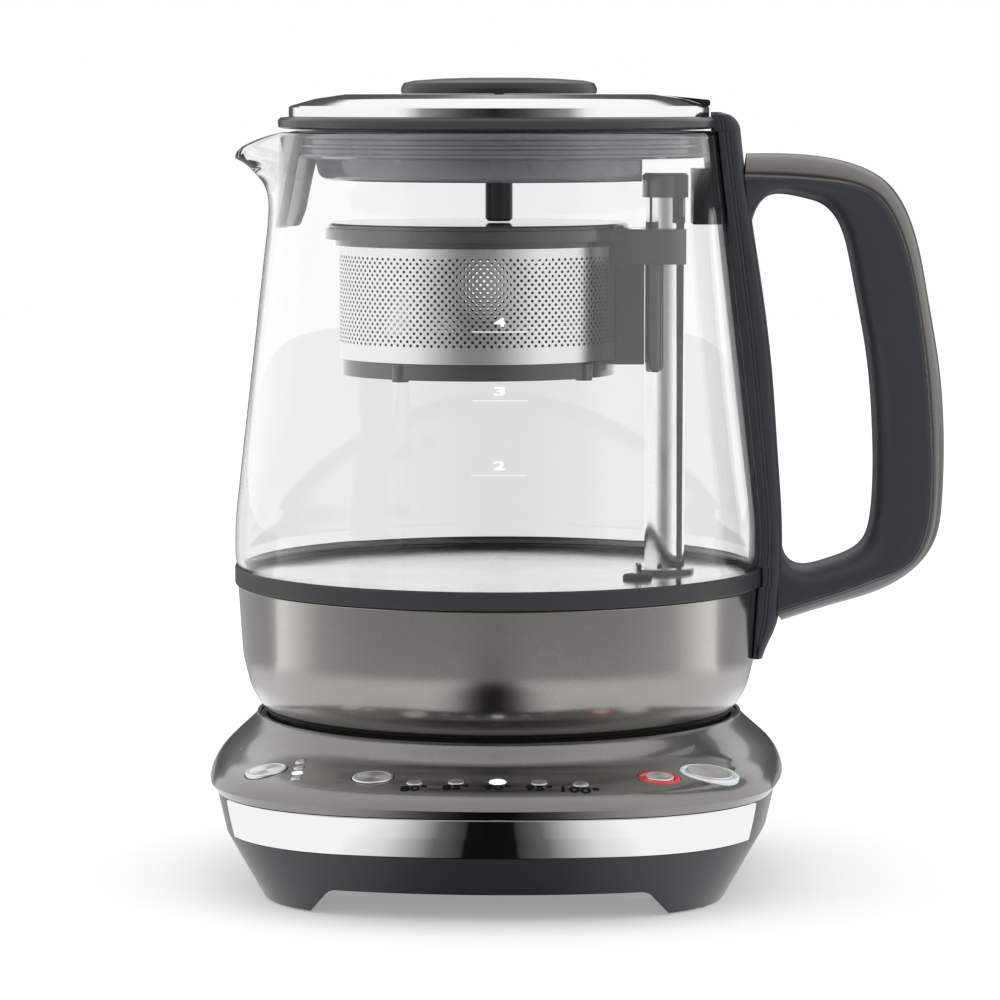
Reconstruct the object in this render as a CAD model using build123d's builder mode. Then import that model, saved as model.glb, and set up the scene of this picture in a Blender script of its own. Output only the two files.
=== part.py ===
"""Automatic tea maker: a glass kettle with a travelling tea basket on a powered base.

The model stands on Z = 0 with the jug's axis on Z. The spout points to -X, the handle
to +X and the control panel faces -Y. All sizes are in millimetres.
"""

import math
import os

from build123d import *

os.makedirs("parts", exist_ok=True)

# --- fits ---------------------------------------------------------------------------------
SLIP = 0.3  # gap round a piece that moves
SEAT = 0.1  # gap where a piece rests on another

# --- power base -----------------------------------------------------------------------------
# plan of the top panel from its rim up to its crest: height, half width, front reach,
# bulge of each side, bulge of each end, corner radius
PANEL_SECTIONS = (
    (32.0, 80.7, 96.2, 9.3, 17.0, 52.0),
    (36.0, 78.9, 92.3, 10.3, 17.6, 53.0),
    (37.9, 77.2, 85.5, 12.0, 18.6, 55.0),
    (39.1, 75.9, 78.4, 14.5, 19.2, 57.0),
    (42.5, 72.2, 72.2, 18.4, 19.6, 59.0),
    (46.4, 69.0, 69.0, 19.6, 19.6, 60.0),
)
RIM_Z, RIM_HALF, RIM_FRONT = PANEL_SECTIONS[0][:3]
CREST_Z = PANEL_SECTIONS[-1][0]
PANEL_WALL = 2.0  # thickness measured sideways
PANEL_DROP = 0.9  # how far the inside lies below the outside
WELL_MOUTH = 68.0  # hole in the panel for the jug
RIM_LEAN = 1.7  # the upright strip under the rim leans in by this much

BAND_TOP_Z = 29.6
BAND_BOTTOM_Z = 18.6
BAND_TOP_INSET = 1.8  # band's top edge inside the rim
BAND_BOTTOM_INSET = 4.3
BAND_WALL = 1.2
BAND_END_Y = -61.0  # where the band ends on each side

FLOOR_INSET = 14.8  # rim to leg at the counter
HOUSING_WALL = 2.5
ARCH_Z = 7.8  # underside between the legs
HOUSING_FLOOR = 2.2
ARCH_HALF_X = 43.0
ARCH_HALF_Y = 29.0
ARCH_LEAN = 6.0  # how much wider an arch is at the counter
ARCH_ROUND = 4.0
PAD_X = 54.3
PAD_FRONT_Y = -56.0
PAD_BACK_Y = 40.5
PAD_RADIUS = 4.6
PAD_HEIGHT = 1.6
PAD_SHOW = 0.5  # how far a pad stands out of its leg

SCREW_RADIUS = 1.4
SCREW_LENGTH = 10.0
SCREW_HEAD_RADIUS = 2.8
SCREW_HEAD_HEIGHT = 1.8
POST_WALL = 2.2
LEG_SCREW = (55.5, -46.8)
DOCK_SCREW = 41.0  # each way from the axis

# --- dock under the jug ---------------------------------------------------------------------
DOCK_FLOOR_Z = 41.2
DOCK_FLOOR = 2.0
DOCK_RADIUS = 67.8
DOCK_WALL = 1.5
DOCK_TOP_Z = 45.8
POST_RADIUS = 12.0
POST_FLANGE = 17.0
POST_TOP_Z = 52.0
GROOVES = ((4.6, 6.4), (8.2, 10.0))  # inner and outer radius of each contact groove
GROOVE_DEPTH = 5.0
CONTACT_DROP = 1.2  # contacts lie below the top of the post
PIN_RADIUS = 1.6

# --- controls: place in plan, cap radius ------------------------------------------------------
CONTROLS = {
    "strength": ((-61.2, -64.2), 5.8),
    "temperature": ((-31.2, -78.6), 5.5),
    "warm": ((45.9, -74.0), 3.95),
    "start": ((59.6, -64.6), 6.45),
}
LIT = ("warm", "start")  # buttons with a light ring
RING_WIDTH = 1.5
RING_PROUD = 0.2
RING_DEPTH = 1.9
BUTTON_PROUD = 0.5
BUTTON_TRAVEL = 0.8
BUTTON_CAP = 2.9  # from the cap's top to its flange
BUTTON_FLANGE = 0.8
BUTTON_FLANGE_OUT = 1.0
STEM_RADIUS = 1.5
STEM_LENGTH = 2.6
SWITCH_SIDE = 6.0
TEMP_LENS_RADIUS = 2.4
TEMP_LENSES = (-19.6, -83.7, 11.13, 5)  # first place in plan, step along X, count
LEVEL_LENS_RADIUS = 1.65
LEVEL_LENSES = (-52.2, -60.1, -4.9, 4)  # first place in plan, step along Y, count
LENS_PROUD = 0.35
LENS_DEPTH = 3.0

BOARD_Z = 24.0
BOARD_THICK = 1.6
BOARD_INSET = 8.5  # rim to the board's edge
BOARD_BACK_Y = -57.0
BOARD_SCREW = (22.0, -78.0)
BUSHING_RADIUS = 4.6
BUSHING_BORE = 2.4
BUSHING_COLLAR = 5.8
BUSHING_COLLAR_Y = 78.2
BUSHING_LENGTH = 11.0
BUSHING_Z = 19.0

# --- jug --------------------------------------------------------------------------------------
COLLAR_RADIUS = 75.2
COLLAR_WALL = 0.9
COLLAR_BOTTOM_Z = 83.0
COLLAR_TOP_Z = 88.2
LEDGE_Z = 84.2
LEDGE_RADIUS = 69.5
SLEEVE_TOP_RADIUS = 74.3
SLEEVE_KNEE_RADIUS = 72.9
SLEEVE_KNEE_Z = 62.6
SLEEVE_FOOT_RADIUS = 66.5
SLEEVE_FOOT_Z = 47.0
SLEEVE_WALL = 1.2
SLEEVE_LIP = 2.5  # thickness of the ring that the cover is screwed to
COVER_Z = 41.5
COVER_FLOOR = 2.0
COVER_FLOOR_RADIUS = 62.0
COVER_EDGE_RADIUS = 65.0
COVER_RADIUS = 66.0
COVER_RING_RADIUS = 56.5
COVER_SCREW_AT = 61.0
COVER_SCREWS = 3
CONNECTOR_RADIUS = 19.6
CONNECTOR_Z = 42.6
CONNECTOR_TOP_Z = 58.0
CONNECTOR_COLLAR = 23.0
CONNECTOR_COLLAR_Z = 44.2
CONNECTOR_COLLAR_THICK = 1.8

GLASS_WALL = 2.0
FOOT_Z = 86.2
FOOT_RADIUS = 73.7
SHOULDER_Z = 92.0
SHOULDER_RADIUS = 75.0
WAIST_Z = 100.5
MOUTH_Z = 211.0
MOUTH_RADIUS = 62.4
# level circles that the spout is lofted through: height, reach from the axis, radius
SPOUT_RINGS = ((187.0, 64.6, 28.5), (196.5, 66.4, 20.5), (202.4, 73.2, 12.5), (213.0, 95.0, 6.0))
SPOUT_TIP = (-75.3, 205.2)
SPOUT_ROOT = (-61.5, MOUTH_Z)

PLATE_Z = 84.3
PLATE_THICK = 1.2
PLATE_RADIUS = 73.0
SEAL_WIDTH = 2.6
ELEMENT_RADIUS = 28.0
ELEMENT_SIDE = 6.0
ELEMENT_ARC = 300.0
TERMINAL_RADIUS = 1.5
TERMINAL_LENGTH = 12.0
CUTOUT_RADIUS = 8.5
CUTOUT_HEIGHT = 8.0
MOTOR_RADIUS = 10.5
MOTOR_HEIGHT = 24.0

SHAFT_X = 47.1
SHAFT_RADIUS = 5.7
SHAFT_WALL = 0.7
SHAFT_TOP_Z = 197.6
SHAFT_CAP_RADIUS = 6.55
SHAFT_CAP_Z = 192.4
SHAFT_CAP_TOP_Z = 199.3
SHAFT_CAP_EDGE = 0.8
SHAFT_SEAL_RADIUS = 8.6
SHAFT_SEAL_HEIGHT = 1.4
SPINDLE_RADIUS = 1.5
SPINDLE_TOP_Z = 190.0
PROBE_AT = (39.5, -18.0)
PROBE_RADIUS = 1.15
PROBE_HEIGHT = 5.0
GASKET_RADIUS = 4.1
GASKET_HEIGHT = 1.4

GUARD_WALL = 1.1
GUARD_TOP_Z = 210.4
GUARD_BOTTOM_Z = 183.9
GUARD_TOP_HALF = 32.0  # half width across the jug
GUARD_BOTTOM_HALF = 24.6
BRACKET_X = 54.7
BRACKET_HALF = 12.0
BRACKET_Z = 185.0
BRACKET_STEP_Z = 200.5
BRACKET_TOP_Z = 209.0
BRACKET_TOP_WALL = 1.2

# --- handle: outlines in the XZ plane -----------------------------------------------------------
SPINE_HALF = 11.8
GRIP_HALF = 11.5
SPINE_FACE_X = 59.9  # the spine's inner face over the lid's flange
SPINE_TOP_Z = 216.4
SPINE_FOOT_Z = 62.2
SPINE_TOP_ROUND = 5.0
SPINE_BACK = ((68.8, 205.7), (77.2, 146.2), (80.4, 95.7), (77.5, SPINE_FOOT_Z))
OUTER_EDGE = (
    (69.9, 204.8),
    (97.4, 202.7),
    (109.2, 197.1),
    (117.6, 182.1),
    (121.4, 164.0),
    (124.5, 146.2),
    (126.2, 118.0),
    (125.8, 106.5),
    (123.9, 95.7),
    (110.4, 82.3),
    (96.0, 77.4),
    (80.5, 72.5),
)
TRIM_EDGE = (
    (69.9, 198.4),
    (97.0, 196.6),
    (108.6, 190.8),
    (116.0, 171.5),
    (120.8, 143.0),
    (121.9, 108.5),
    (117.3, 90.8),
    (98.0, 81.9),
    (79.5, 75.9),
)
FINGER_EDGE = (
    (77.4, 193.5),
    (92.1, 190.2),
    (99.0, 174.6),
    (104.4, 146.2),
    (106.1, 116.5),
    (102.8, 94.8),
    (86.2, 88.5),
)
FINGER_BACK = ((80.4, 95.7), (77.0, 146.2), (71.7, 188.5))
UPPER_SCREWS = ((189.5, 57.0), (197.0, 57.0))  # height, where the head seats
LOWER_SCREWS = ((67.5, 71.7), (77.0, 72.3))
UPPER_SCREW_LENGTH = 13.0
LOWER_SCREW_LENGTH = 5.0

# --- lid ----------------------------------------------------------------------------------------
FLANGE_RADIUS = 62.5
FLANGE_SEAT_RADIUS = 60.2
FLANGE_Z = 211.2
FLANGE_TOP_Z = 215.1
FLANGE_FLOOR = 1.7
CAP_RADIUS = 59.4
CAP_EDGE_Z = 218.0
CAP_BEND_RADIUS = 52.0
CAP_BEND_Z = 220.2
CAP_SHOULDER_RADIUS = 43.5
CAP_SHOULDER_Z = 221.4
CAP_CROWN_Z = 221.8
CAP_SHEET = 0.8
KNOB_RADIUS = 27.8
KNOB_RIM_RADIUS = 25.0
KNOB_RIM_Z = 224.9
KNOB_TOP_Z = 226.1
KNOB_UNDERCUT = 1.4
KNOB_SCREW_LENGTH = 3.4
SKIRT_RADIUS = 56.8
SKIRT_STEP_Z = 203.0
SKIRT_FOOT_RADIUS = 49.5
SKIRT_FOOT_Z = 197.0
SKIRT_ROUND = 3.0
SKIRT_WALL = 1.5
SKIRT_NOTCH_X = 38.5
SKIRT_NOTCH_HALF = 9.6
SKIRT_NOTCH_Z = 204.2
SEAL_WALL = 0.7
SEAL_RIB = 1.0
SEAL_RIB_PITCH = 2.5
SEAL_RIBS = 3
SEAL_Z = 203.6
LID_STEM_RADIUS = 3.85
LID_STEM_WALL = 1.2
TAB_HALF = 8.0
TAB_ROOT_X = 44.0
TAB_END_X = 57.2
TAB_TIP_X = 59.6
TAB_THICK = 1.8
TAB_END_Z = 220.1

# --- basket -------------------------------------------------------------------------------------
BASKET_X = -5.8
BASKET_RADIUS = 39.4
BASKET_SHEET = 0.5
RIM_RING_RADIUS = 43.4
RIM_RING_Z = 180.8
RIM_RING_TOP_Z = 183.9
NECK_RADIUS = 40.6
NECK_Z = 179.0
RING_BORE = 37.4
LOW_RING_RADIUS = 38.6
LOW_RING_Z = 142.5
LOW_RING_TOP_Z = 147.1
LOW_RING_BORE = 36.0
SPIGOT = 2.0  # how far each ring reaches inside the wall
BASKET_FOOT_RADIUS = 2.4
BASKET_FOOT_HEIGHT = 0.6
BASKET_FOOT_ANGLES = (-123.0, -36.0, 36.0, 123.0)
CHANNEL_REACH_X = 41.2
CHANNEL_HALF = 6.6
CLIP_RADIUS = 12.4
CLIP_REACH_X = 52.8
CLIP_Z = 173.8
CLIP_TOP_Z = 183.7
CLIP_GAP = 1.15  # from the shaft; the shaft's cap also passes through
SLIDE_PIN_AT = (44.2, -8.8)
SLIDE_PIN_RADIUS = 1.9
SLIDE_PIN_Z = 143.4
BASKET_LID_RADIUS = 42.5
BASKET_LID_THICK = 1.3
MAGNET_LENGTH = 9.0


# --- helpers ------------------------------------------------------------------------------------
def arc_radius(half_chord, bulge):
    """Radius of an arc that bulges that far over its chord."""
    return (half_chord**2 + bulge**2) / (2 * bulge)


def outline(height, inset, half_width, front, side_bulge, end_bulge, corner):
    """Base in plan: four flat arcs and four round corners, all drawn in by inset."""
    half_length = (half_width + front) / 2
    end_radius = arc_radius(half_width - side_bulge, end_bulge)
    side_radius = arc_radius(half_length - end_bulge, side_bulge)
    # the front arc and the right-hand arc cross at the corner, which the fillet rounds
    front_centre = Vector(0, end_radius - half_length)
    across = Vector(half_width - side_radius, 0) - front_centre
    along = ((end_radius - inset) ** 2 - (side_radius - inset) ** 2 + across.length**2) / 2
    along = along / across.length
    beside = math.sqrt((end_radius - inset) ** 2 - along**2)
    way = across.normalized()
    meet = front_centre + way * along + Vector(-way.Y, way.X) * beside
    right, near = meet.X, meet.Y
    with BuildSketch(Plane((0, half_width - half_length, height))) as flat:
        with BuildLine():
            ThreePointArc((-right, near), (0, inset - half_length), (right, near))
            ThreePointArc((right, near), (half_width - inset, 0), (right, -near))
            ThreePointArc((right, -near), (0, half_length - inset), (-right, -near))
            ThreePointArc((-right, -near), (inset - half_width, 0), (-right, near))
        make_face()
        fillet(flat.vertices(), corner - inset)
    return flat.sketch


def rim_outline(height, inset):
    """The base's plan at its rim, drawn in by inset."""
    return outline(height, inset, *PANEL_SECTIONS[0][1:])


def panel_form(inset, drop, bottom_z):
    """Solid inside the panel's surface, with the strip below the rim down to bottom_z.

    The outside is a smooth loft; the hidden inside is a ruled one.
    """
    with BuildPart(mode=Mode.PRIVATE) as form:
        loft(
            [outline(height - drop, inset, *plan) for height, *plan in PANEL_SECTIONS],
            ruled=inset > 0,
        )
        foot = rim_outline(bottom_z, RIM_LEAN + inset)
        loft([foot, rim_outline(RIM_Z - drop, inset)], ruled=True)
    return form.part


def tub_form(inset, bottom_z):
    """Solid inside the lower housing's outer surface, from bottom_z up to the band's top."""
    with BuildPart(mode=Mode.PRIVATE) as form:
        waist = rim_outline(BAND_BOTTOM_Z, BAND_BOTTOM_INSET + inset)
        loft([rim_outline(0, FLOOR_INSET + inset), waist], ruled=True)
        loft([waist, rim_outline(BAND_TOP_Z, BAND_TOP_INSET + inset)], ruled=True)
        with BuildSketch(Plane.XY.offset(bottom_z)):
            Rectangle(4 * RIM_FRONT, 4 * RIM_FRONT)
        extrude(amount=BAND_TOP_Z, mode=Mode.INTERSECT)
    return form.part


def band_form(outset, wall, end_y, gap):
    """Band between the panel and the housing, in front of end_y."""
    low = BAND_BOTTOM_Z + gap
    high = BAND_TOP_Z - gap
    with BuildPart(mode=Mode.PRIVATE) as form:
        bottom = rim_outline(low, BAND_BOTTOM_INSET - outset)
        loft([bottom, rim_outline(high, BAND_TOP_INSET - outset)], ruled=True)
        bottom = rim_outline(low, BAND_BOTTOM_INSET + wall)
        loft([bottom, rim_outline(high, BAND_TOP_INSET + wall)], ruled=True, mode=Mode.SUBTRACT)
        split(bisect_by=Plane((0, end_y, 0), x_dir=(1, 0, 0), z_dir=(0, -1, 0)), keep=Keep.TOP)
    return form.part


def turned(*points):
    """Solid of revolution about Z from an outline of (radius, height) points."""
    with BuildPart(mode=Mode.PRIVATE) as solid:
        with BuildSketch(Plane.XZ):
            with BuildLine():
                Polyline(*points, close=True)
            make_face()
        revolve(axis=Axis.Z)
    return solid.part


def rod(place, radius, bottom, top):
    """Upright cylinder between two heights."""
    with BuildPart(mode=Mode.PRIVATE) as solid:
        with BuildSketch(Plane.XY.offset(bottom)):
            with Locations(place):
                Circle(radius)
        extrude(amount=top - bottom)
    return solid.part


def ring(place, radius, bore, bottom, top):
    """Upright ring between two heights."""
    return rod(place, radius, bottom, top) - rod(place, bore, bottom, top)


def block(low_x, high_x, half_y, bottom, top):
    """Box between two X places and two heights, centred on Y."""
    with BuildPart(mode=Mode.PRIVATE) as solid:
        with BuildSketch(Plane.XY.offset(bottom)):
            with Locations(((low_x + high_x) / 2, 0)):
                Rectangle(high_x - low_x, 2 * half_y)
        extrude(amount=top - bottom)
    return solid.part


def stud(plane, radius, bottom, top):
    """Cylinder along a plane's normal, between two offsets from that plane."""
    with BuildPart(mode=Mode.PRIVATE) as solid:
        with BuildSketch(plane.offset(bottom)):
            Circle(radius)
        extrude(amount=top - bottom)
    return solid.part


def screw(plane, length):
    """Pan-head screw: its head stands under the plane's origin and its shank goes up."""
    with BuildPart(mode=Mode.PRIVATE) as solid:
        add(stud(plane, SCREW_HEAD_RADIUS, -SCREW_HEAD_HEIGHT, 0))
        add(stud(plane, SCREW_RADIUS, 0, length))
    return solid.part


def save(piece, name):
    """Label a finished piece and write its file."""
    piece.label = name
    export_step(piece, f"parts/{name}.step")


# --- top panel ----------------------------------------------------------------------------------
panel_skin = panel_form(0, 0, BAND_TOP_Z + SEAT)


def panel_plane(place):
    """Plane on the panel's surface at a place in plan, facing outwards."""
    ray = Axis((place[0], place[1], CREST_Z + 10), (0, 0, -1))
    spot = None
    normal = None
    for face in panel_skin.faces():
        for vertex in face.intersect(ray) or []:
            if spot is None or vertex.Z > spot.Z:
                spot = Vector(vertex.X, vertex.Y, vertex.Z)
                normal = face.normal_at(spot)
    return Plane(spot, x_dir=Vector(1, 0, -normal.X / normal.Z), z_dir=normal)


control_planes = {name: panel_plane(place) for name, (place, _) in CONTROLS.items()}
temp_x, temp_y, temp_step, temp_count = TEMP_LENSES
level_x, level_y, level_step, level_count = LEVEL_LENSES
temp_planes = [panel_plane((temp_x + temp_step * count, temp_y)) for count in range(temp_count)]
level_planes = [panel_plane((level_x, level_y + level_step * count)) for count in range(level_count)]
lens_spots = [(plane, TEMP_LENS_RADIUS) for plane in temp_planes]
lens_spots += [(plane, LEVEL_LENS_RADIUS) for plane in level_planes]
leg_screws = [(side * LEG_SCREW[0], LEG_SCREW[1]) for side in (-1, 1)]
dock_screws = [(x, y) for x in (-DOCK_SCREW, DOCK_SCREW) for y in (-DOCK_SCREW, DOCK_SCREW)]
floor_z = ARCH_Z + HOUSING_FLOOR
post_radius = SCREW_RADIUS + POST_WALL
pilot_radius = SCREW_RADIUS + SEAT
pilot_top_z = ARCH_Z + SCREW_LENGTH + 1


def control_hole(name):
    """Radius of the panel's hole for a button and its light ring, where it has one."""
    radius = CONTROLS[name][1] + SLIP
    return radius + RING_WIDTH + SEAT if name in LIT else radius


with BuildPart() as top_panel:
    add(panel_skin)
    add(panel_form(PANEL_WALL, PANEL_DROP, BAND_TOP_Z - 5), mode=Mode.SUBTRACT)
    add(rod((0, 0), WELL_MOUTH, RIM_Z, CREST_Z + 5), mode=Mode.SUBTRACT)
    for name, plane in control_planes.items():
        add(stud(plane, control_hole(name), -6, 4), mode=Mode.SUBTRACT)
        flange_room = CONTROLS[name][1] + BUTTON_FLANGE_OUT + SLIP
        add(stud(plane, flange_room, -6, BUTTON_PROUD - BUTTON_CAP + SLIP), mode=Mode.SUBTRACT)
    for plane, radius in lens_spots:
        add(stud(plane, radius + SEAT, -6, 4), mode=Mode.SUBTRACT)
    under_skin = panel_form(PANEL_WALL / 2, PANEL_DROP / 2, floor_z)
    for place in leg_screws:
        add(rod(place, post_radius, floor_z + SEAT, CREST_Z) & under_skin)
        add(rod(place, pilot_radius, ARCH_Z, pilot_top_z), mode=Mode.SUBTRACT)
save(top_panel.part, "top_panel")

# --- trim band ----------------------------------------------------------------------------------
with BuildPart() as trim_band:
    add(band_form(0, BAND_WALL, BAND_END_Y, SEAT))
save(trim_band.part, "trim_band")


# --- lower housing ------------------------------------------------------------------------------
def arch(plane, half_width, middle):
    """Gap between two legs, wider at the counter than under the housing."""
    with BuildPart(mode=Mode.PRIVATE) as gap:
        with BuildSketch(plane) as side:
            with BuildLine():
                Polyline(
                    (middle - half_width - ARCH_LEAN, 0),
                    (middle - half_width, ARCH_Z),
                    (middle + half_width, ARCH_Z),
                    (middle + half_width + ARCH_LEAN, 0),
                    close=True,
                )
            make_face()
            fillet(side.vertices().group_by(Axis.Y)[-1], ARCH_ROUND)
        extrude(amount=2 * RIM_FRONT, both=True)
    return gap.part


leg_spots = [(side * PAD_X, y) for side in (-1, 1) for y in (PAD_FRONT_Y, PAD_BACK_Y)]
board_spots = [(side * BOARD_SCREW[0], BOARD_SCREW[1]) for side in (-1, 1)]
middle_y = (RIM_HALF - RIM_FRONT) / 2
bushing_plane = Plane((0, 0, BUSHING_Z), x_dir=(1, 0, 0), z_dir=(0, 1, 0))
bushing_end_y = BUSHING_COLLAR_Y + 1.8

with BuildPart() as lower_housing:
    add(tub_form(0, PAD_SHOW))
    add(tub_form(HOUSING_WALL, floor_z), mode=Mode.SUBTRACT)
    add(band_form(3, BAND_WALL + SEAT, BAND_END_Y + SEAT, 0), mode=Mode.SUBTRACT)
    add(arch(Plane.XZ, ARCH_HALF_X, 0), mode=Mode.SUBTRACT)
    add(arch(Plane.YZ, ARCH_HALF_Y, middle_y), mode=Mode.SUBTRACT)
    for place in board_spots:
        add(rod(place, post_radius, floor_z - 0.5, BOARD_Z - SEAT))
        add(rod(place, pilot_radius, floor_z + 1, BOARD_Z), mode=Mode.SUBTRACT)
    for place in leg_spots:
        add(rod(place, PAD_RADIUS + SEAT, 0, PAD_HEIGHT + SEAT), mode=Mode.SUBTRACT)
    for place in leg_screws + dock_screws:
        add(rod(place, pilot_radius, ARCH_Z - 1, floor_z + 1), mode=Mode.SUBTRACT)
        add(rod(place, SCREW_HEAD_RADIUS + SLIP, 0, ARCH_Z), mode=Mode.SUBTRACT)
    bushing_hole = stud(bushing_plane, BUSHING_RADIUS + SEAT, BUSHING_COLLAR_Y - 12, RIM_HALF)
    add(bushing_hole, mode=Mode.SUBTRACT)
save(lower_housing.part, "lower_housing")

with BuildPart() as rubber_feet:
    for place in leg_spots:
        add(rod(place, PAD_RADIUS, 0, PAD_HEIGHT))
save(rubber_feet.part, "rubber_feet")

with BuildPart() as housing_screws:
    for x, y in leg_screws + dock_screws:
        add(screw(Plane((x, y, ARCH_Z - SEAT)), SCREW_LENGTH))
save(housing_screws.part, "housing_screws")

with BuildPart() as cord_bushing:
    add(stud(bushing_plane, BUSHING_RADIUS, bushing_end_y - BUSHING_LENGTH, bushing_end_y))
    add(stud(bushing_plane, BUSHING_COLLAR, BUSHING_COLLAR_Y, bushing_end_y))
    add(stud(bushing_plane, BUSHING_BORE, 0, 2 * RIM_HALF), mode=Mode.SUBTRACT)
save(cord_bushing.part, "cord_bushing")

# --- dock ---------------------------------------------------------------------------------------
dock_under_z = DOCK_FLOOR_Z - DOCK_FLOOR

with BuildPart() as dock_well:
    add(
        turned(
            (POST_RADIUS + SEAT, dock_under_z),
            (DOCK_RADIUS, dock_under_z),
            (DOCK_RADIUS, DOCK_TOP_Z),
            (DOCK_RADIUS - DOCK_WALL, DOCK_TOP_Z),
            (DOCK_RADIUS - DOCK_WALL, DOCK_FLOOR_Z),
            (POST_RADIUS + SEAT, DOCK_FLOOR_Z),
        )
    )
    for place in dock_screws:
        add(rod(place, post_radius, floor_z + SEAT, dock_under_z + 0.5))
        add(rod(place, pilot_radius, floor_z, pilot_top_z), mode=Mode.SUBTRACT)
save(dock_well.part, "dock_well")

with BuildPart() as base_connector:
    add(
        turned(
            (0, dock_under_z - 2.5),
            (POST_FLANGE, dock_under_z - 2.5),
            (POST_FLANGE, dock_under_z - SEAT),
            (POST_RADIUS, dock_under_z - SEAT),
            (POST_RADIUS, POST_TOP_Z - 0.8),
            (POST_RADIUS - 0.8, POST_TOP_Z),
            (0, POST_TOP_Z),
        )
    )
    for inner, outer in GROOVES:
        groove = ring((0, 0), outer, inner, POST_TOP_Z - GROOVE_DEPTH, POST_TOP_Z)
        add(groove, mode=Mode.SUBTRACT)
    add(rod((0, 0), PIN_RADIUS, POST_TOP_Z - GROOVE_DEPTH, POST_TOP_Z), mode=Mode.SUBTRACT)
save(base_connector.part, "base_connector")

with BuildPart() as base_contacts:
    contact_top = POST_TOP_Z - CONTACT_DROP
    contact_foot = POST_TOP_Z - GROOVE_DEPTH + SEAT
    add(rod((0, 0), PIN_RADIUS - SLIP, contact_foot, contact_top))
    for inner, outer in GROOVES:
        add(ring((0, 0), inner + SEAT + 0.5, inner + SEAT, contact_foot, contact_top))
save(base_contacts.part, "base_contacts")

# --- control board ------------------------------------------------------------------------------
board_top_z = BOARD_Z + BOARD_THICK
switch_drop = BUTTON_CAP - BUTTON_PROUD + BUTTON_FLANGE + STEM_LENGTH + BUTTON_TRAVEL + SEAT

with BuildPart() as control_board:
    with BuildSketch(Plane.XY.offset(BOARD_Z)):
        add(rim_outline(BOARD_Z, BOARD_INSET))
        with Locations((0, BOARD_BACK_Y + RIM_FRONT)):
            Rectangle(4 * RIM_HALF, 2 * RIM_FRONT, mode=Mode.SUBTRACT)
        with Locations(*board_spots):
            Circle(SCREW_RADIUS + SEAT, mode=Mode.SUBTRACT)
    extrude(amount=BOARD_THICK)
save(control_board.part, "control_board")

with BuildPart() as board_screws:
    for x, y in board_spots:
        facing_down = Plane((x, y, board_top_z + SEAT), x_dir=(1, 0, 0), z_dir=(0, 0, -1))
        add(screw(facing_down, SCREW_LENGTH))
save(board_screws.part, "board_screws")

with BuildPart() as tap_switches:
    for plane in control_planes.values():
        with BuildSketch(plane.offset(-switch_drop - 1)):
            Rectangle(SWITCH_SIDE, SWITCH_SIDE)
        extrude(amount=-2 * SWITCH_SIDE)
        add(stud(plane, STEM_RADIUS, -switch_drop - 2, -switch_drop))
    with BuildSketch(Plane.XY.offset(board_top_z)):
        Rectangle(4 * RIM_HALF, 4 * RIM_FRONT)
    extrude(amount=-4 * SWITCH_SIDE, mode=Mode.SUBTRACT)
save(tap_switches.part, "tap_switches")

# --- buttons, light rings and lenses ------------------------------------------------------------
for name, (_, radius) in CONTROLS.items():
    plane = control_planes[name]
    flange_top = BUTTON_PROUD - BUTTON_CAP
    stem_top = flange_top - BUTTON_FLANGE
    with BuildPart() as button:
        add(stud(plane, radius, flange_top, BUTTON_PROUD))
        add(stud(plane, radius + BUTTON_FLANGE_OUT, stem_top, flange_top))
        add(stud(plane, STEM_RADIUS, stem_top - STEM_LENGTH, stem_top))
        with BuildSketch(plane.offset(BUTTON_PROUD)):
            Circle(radius - 0.5)
        extrude(amount=-0.25, taper=45, mode=Mode.SUBTRACT)
    save(button.part, f"button_{name}")
    if name in LIT:
        with BuildPart() as light_ring:
            outer = radius + SLIP + RING_WIDTH
            add(stud(plane, outer, -RING_DEPTH, RING_PROUD))
            add(stud(plane, radius + SLIP, -RING_DEPTH, RING_PROUD), mode=Mode.SUBTRACT)
        save(light_ring.part, f"ring_{name}")

with BuildPart() as indicator_lenses:
    for plane, radius in lens_spots:
        add(stud(plane, radius, -LENS_DEPTH, LENS_PROUD))
save(indicator_lenses.part, "indicator_lenses")


# --- jug body -----------------------------------------------------------------------------------
def sleeve_form(inset):
    """Solid inside the metal sleeve's outer surface."""
    top_z = COLLAR_BOTTOM_Z - SEAT
    with BuildPart(mode=Mode.PRIVATE) as form:
        with BuildSketch(Plane.XZ):
            with BuildLine():
                flank = Line(
                    (SLEEVE_TOP_RADIUS - inset, top_z), (SLEEVE_KNEE_RADIUS - inset, SLEEVE_KNEE_Z)
                )
                foot = (SLEEVE_FOOT_RADIUS - inset, SLEEVE_FOOT_Z)
                TangentArc(flank @ 1, foot, tangent=flank % 1)
                Polyline(foot, (0, SLEEVE_FOOT_Z), (0, top_z), flank @ 0)
            make_face()
        revolve(axis=Axis.Z)
    return form.part


def glass_form(inset):
    """Solid inside the glass body's outer surface, without its spout."""
    with BuildPart(mode=Mode.PRIVATE) as form:
        with BuildSketch(Plane.XZ) as profile:
            with BuildLine():
                Polyline(
                    (0, FOOT_Z),
                    (FOOT_RADIUS - inset, FOOT_Z),
                    (SHOULDER_RADIUS - inset, SHOULDER_Z),
                    (SHOULDER_RADIUS - inset, WAIST_Z),
                    (MOUTH_RADIUS - inset, MOUTH_Z),
                    (0, MOUTH_Z),
                    close=True,
                )
            make_face()
            bends = profile.vertices().filter_by_position(Axis.Y, SHOULDER_Z - 1, WAIST_Z + 1)
            bends = bends.filter_by_position(Axis.X, MOUTH_RADIUS - inset, 2 * COLLAR_RADIUS)
            fillet(bends, 2 * (WAIST_Z - SHOULDER_Z))
        revolve(axis=Axis.Z)
    return form.part


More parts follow.
